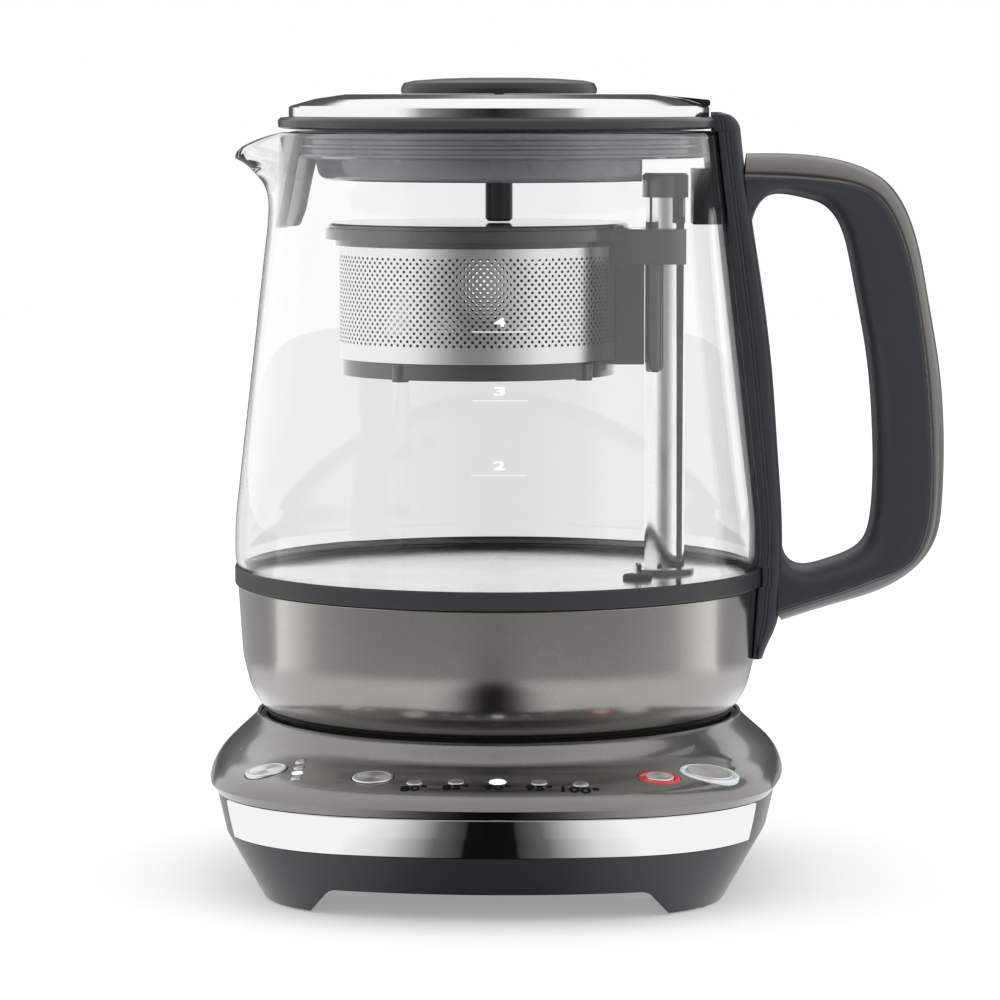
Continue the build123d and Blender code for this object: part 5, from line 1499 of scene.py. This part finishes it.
@dataclass
class Studio:
    """Pale floor, soft light and the camera.

    Bearings are in degrees from -Y, where the camera stands, and the same on both sides. Levels
    are of what a polished surface sees; all else is lit by a plain white room.

    Attributes:
        distance: how far the camera stands from the jug's axis.
        height: height of the camera.
        pitch: how far it looks down.
        swing: how far it is turned round the axis.
        aside: how far it stands to its own right.
        focal: focal length, in thousandths of the sensor's width.
        sensor: width of the camera's sensor.
        floor_half: half width of the floor.
        floor_grey: its shade.
        floor_lift: light added to it for the camera alone.
        room: level of the walls, by bearing.
        inside: the same for what stands behind the jug's glass.
        ground: level of the floor, by bearing.
        strip_half: half width of the strip of floor in front that bright metal sees.
        strip_stops: its levels, by share of that half width.
        strip_ends: distances between which the strip gives way to the ground's levels.
        wall_tops: height of the walls' upper edge, as a share, by share of half a turn.
        top_softness: softness of that edge, as a share.
        dome_levels: level above the walls, by share of half a turn.
    """

    distance: float = 1265.0
    height: float = 222.93
    pitch: float = math.radians(5.27)
    swing: float = math.radians(2.07)
    aside: float = 0.285
    focal: float = 4457.0
    sensor: float = 36.0
    floor_half: float = 3000.0
    floor_grey: float = 0.86
    floor_lift: float = 0.30
    room: Levels = (
        (0, 0.01), (16, 0.05), (28, 0.15), (40, 0.28), (50, 0.9), (56, 1.0), (148, 1.0),
        (154, 0.10), (180, 0.08),
    )
    inside: Levels = ((0, 0.20), (14, 0.25), (32, 0.60), (52, 1.1), (180, 1.1))
    ground: Levels = (
        (0, 0.38), (50, 0.43), (76, 0.60), (94, 1.3), (105, 1.8), (108, 0.50), (159, 0.42),
        (166, 0.06), (180, 0.04),
    )
    strip_half: float = 100.0
    strip_stops: Levels = (
        (0.0, 0.004), (0.100, 0.006), (0.112, 0.04), (0.22, 0.13), (0.42, 0.75), (0.6, 1.0),
    )
    strip_ends: tuple[float, float] = (190.0, 320.0)
    wall_tops: Levels = ((0.0, 0.50), (0.2, 0.45), (0.35, 0.28), (1.0, 0.28))
    top_softness: float = 0.04
    dome_levels: Levels = ((0.0, 0.75), (0.2, 0.85), (0.4, 1.0), (1.0, 1.0))

    def camera(self) -> None:
        """Camera that stands nearly straight in front and looks a little down."""
        data = bpy.data.cameras.new("camera")
        data.sensor_width = self.sensor
        data.lens = self.sensor * self.focal / 1000
        data.clip_start, data.clip_end = 0.05, 20
        made = bpy.data.objects.new("camera", data)
        bpy.context.scene.collection.objects.link(made)
        right = Vector((math.cos(self.swing), math.sin(self.swing), 0))
        ahead = Vector((-math.sin(self.swing), math.cos(self.swing), 0))
        up = Vector((0, 0, 1))
        look = ahead * math.cos(self.pitch) - up * math.sin(self.pitch)
        top = ahead * math.sin(self.pitch) + up * math.cos(self.pitch)
        spot = (-self.distance * ahead + self.aside * right + self.height * up) * MM
        turn = Matrix((right, top, -look)).transposed().to_4x4()
        made.matrix_world = Matrix.Translation(spot) @ turn
        bpy.context.scene.camera = made

    def floor(self) -> None:
        """Plain pale floor: it takes the object's shadow, and is white where nothing shades it."""
        side = self.floor_half
        corners = np.array([(-side, -side, 0), (side, -side, 0), (side, side, 0), (-side, side, 0)])
        made = piece("floor", corners, np.array([[0, 1, 2, 3]]))
        paint = bpy.data.materials.new("floor")
        paint.use_nodes = True
        tree = paint.node_tree
        grey = (self.floor_grey, self.floor_grey, self.floor_grey, 1)
        inputs = {"Base Color": grey, "Roughness": 0.9, "Specular IOR Level": 0.0}
        shader = feed(tree, tree.nodes["Principled BSDF"], inputs)
        seen = node(tree, "LightPath").outputs["Is Camera Ray"]
        strength = self.step(tree, "MULTIPLY", seen, self.floor_lift)
        lift = node(tree, "Emission", {"Strength": strength})
        inputs = {0: shader.outputs["BSDF"], 1: lift.outputs["Emission"]}
        both = node(tree, "AddShader", inputs).outputs["Shader"]
        glare = node(tree, "Emission", {"Color": self.floor_glare(tree)}).outputs["Emission"]
        pick = node(tree, "MixShader", {"Fac": self.mirrored(tree), 1: both, 2: glare})
        feed(tree, tree.nodes["Material Output"], {"Surface": pick.outputs["Shader"]})
        made.data.materials.append(paint)

    @staticmethod
    def ramp(tree: Tree, value: Socket, stops: Iterable) -> Socket:
        """Grey level that runs straight between stops.

        Args:
            tree: nodes to add to.
            value: the place to read, from 0 to 1.
            stops: pairs of place and level.

        Returns:
            The socket that gives the level.
        """
        made = node(tree, "ValToRGB", {"Fac": value})
        elements = made.color_ramp.elements
        elements.remove(elements[-1])
        for order, (spot, level) in enumerate(stops):
            stop = elements[0] if order == 0 else elements.new(spot)
            stop.position = spot
            stop.color = (level, level, level, 1)
        return made.outputs["Color"]

    @staticmethod
    def step(tree: Tree, kind: str, *values: Socket | float) -> Socket:
        """One step of arithmetic on sockets or numbers."""
        return node(tree, "Math", dict(enumerate(values)), operation=kind).outputs["Value"]

    def mirrored(self, tree: Tree) -> Socket:
        """Whether a surface has mirrored a ray: 0 where it came straight or through glass.

        Args:
            tree: nodes to add to.

        Returns:
            The socket that gives 1 or 0.
        """
        path = node(tree, "LightPath")
        once = self.step(tree, "MINIMUM", path.outputs["Glossy Depth"], 1.0)
        return self.step(tree, "MULTIPLY", once, path.outputs["Is Glossy Ray"])

    def bearing(self, tree: Tree, x: Socket, y: Socket) -> Socket:
        """Angle of a direction from -Y, as a share of half a turn: atan2(|x|, -y) / pi.

        Args:
            tree: nodes to add to.
            x: the direction's x.
            y: its y.

        Returns:
            The socket that gives the share.
        """
        wide = self.step(tree, "ABSOLUTE", x)
        ahead = self.step(tree, "MULTIPLY", y, -1.0)
        return self.step(tree, "DIVIDE", self.step(tree, "ARCTAN2", wide, ahead), math.pi)

    def floor_glare(self, tree: Tree) -> Socket:
        """What polished surfaces see of the floor.

        Close by it is a strip that is dark in the middle, and further off the ground's levels.

        Args:
            tree: nodes to add to.

        Returns:
            The socket that gives the level.
        """
        place = node(tree, "TexCoord").outputs["Object"]
        split = node(tree, "SeparateXYZ", {"Vector": place})
        x, y = split.outputs["X"], split.outputs["Y"]
        room = self.seen_from(tree, self.bearing(tree, x, y), self.ground)
        wide = self.step(tree, "DIVIDE", self.step(tree, "ABSOLUTE", x), self.strip_half * MM)
        strip = self.ramp(tree, wide, self.strip_stops)
        far = node(tree, "VectorMath", {0: place}, operation="LENGTH").outputs["Value"]
        near_end, far_end = self.strip_ends
        inputs = {"Value": far, "From Min": near_end * MM, "From Max": far_end * MM}
        return mixed(tree, node(tree, "MapRange", inputs).outputs["Result"], strip, room)

    def seen_from(self, tree: Tree, share: Socket, outside: Iterable) -> Socket:
        """Levels by bearing, for surfaces outside the jug and for those behind its glass.

        Args:
            tree: nodes to add to.
            share: the bearing, as a share of half a turn.
            outside: levels for surfaces outside the jug.

        Returns:
            The socket that gives the level.
        """
        through = node(tree, "LightPath").outputs["Is Transmission Ray"]
        plain, behind = (
            self.ramp(tree, share, self.shares(levels)) for levels in (outside, self.inside)
        )
        return mixed(tree, through, plain, behind)

    @staticmethod
    def shares(levels: Levels) -> list[tuple[float, float]]:
        """The same levels, with each bearing turned from degrees into a share of half a turn."""
        return [(degrees / 180, level) for degrees, level in levels]

    def world(self) -> None:
        """White all round, but polished surfaces see tall soft boxes and dark gaps between them."""
        world = bpy.data.worlds.new("studio")
        bpy.context.scene.world = world
        world.use_nodes = True
        tree = world.node_tree
        split = node(tree, "SeparateXYZ", {"Vector": node(tree, "TexCoord").outputs["Generated"]})
        share = self.bearing(tree, split.outputs["X"], split.outputs["Y"])
        low = self.ramp(tree, share, self.wall_tops)
        rise = self.step(tree, "SUBTRACT", split.outputs["Z"], low)
        high = node(tree, "MapRange", {"Value": rise, "From Max": self.top_softness})
        dome = self.ramp(tree, share, self.dome_levels)
        walls = self.seen_from(tree, share, self.room)
        soft_boxes = mixed(tree, high.outputs["Result"], walls, dome)
        seen = mixed(tree, self.mirrored(tree), (1, 1, 1, 1), soft_boxes)
        feed(tree, tree.nodes["Background"], {"Color": seen})

    def build(self) -> None:
        """Sets up view, floor, light and camera."""
        bpy.context.scene.view_settings.view_transform = "Standard"
        self.camera()
        self.floor()
        self.world()


def main() -> None:
    """Dresses the whole tea maker."""
    logging.basicConfig(level=logging.INFO, format="%(message)s")
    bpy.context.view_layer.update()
    Studio().build()
    for finish, nodes in NODES_OF.items():
        for node in nodes.split():
            dress(from_solid(node), finish)
    Base().build()
    Controls().build()
    jug = Jug()
    jug.build()
    Handle(jug).build()
    Lid().build()
    Basket().build()


if __name__ == "__main__":
    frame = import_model()
    main()
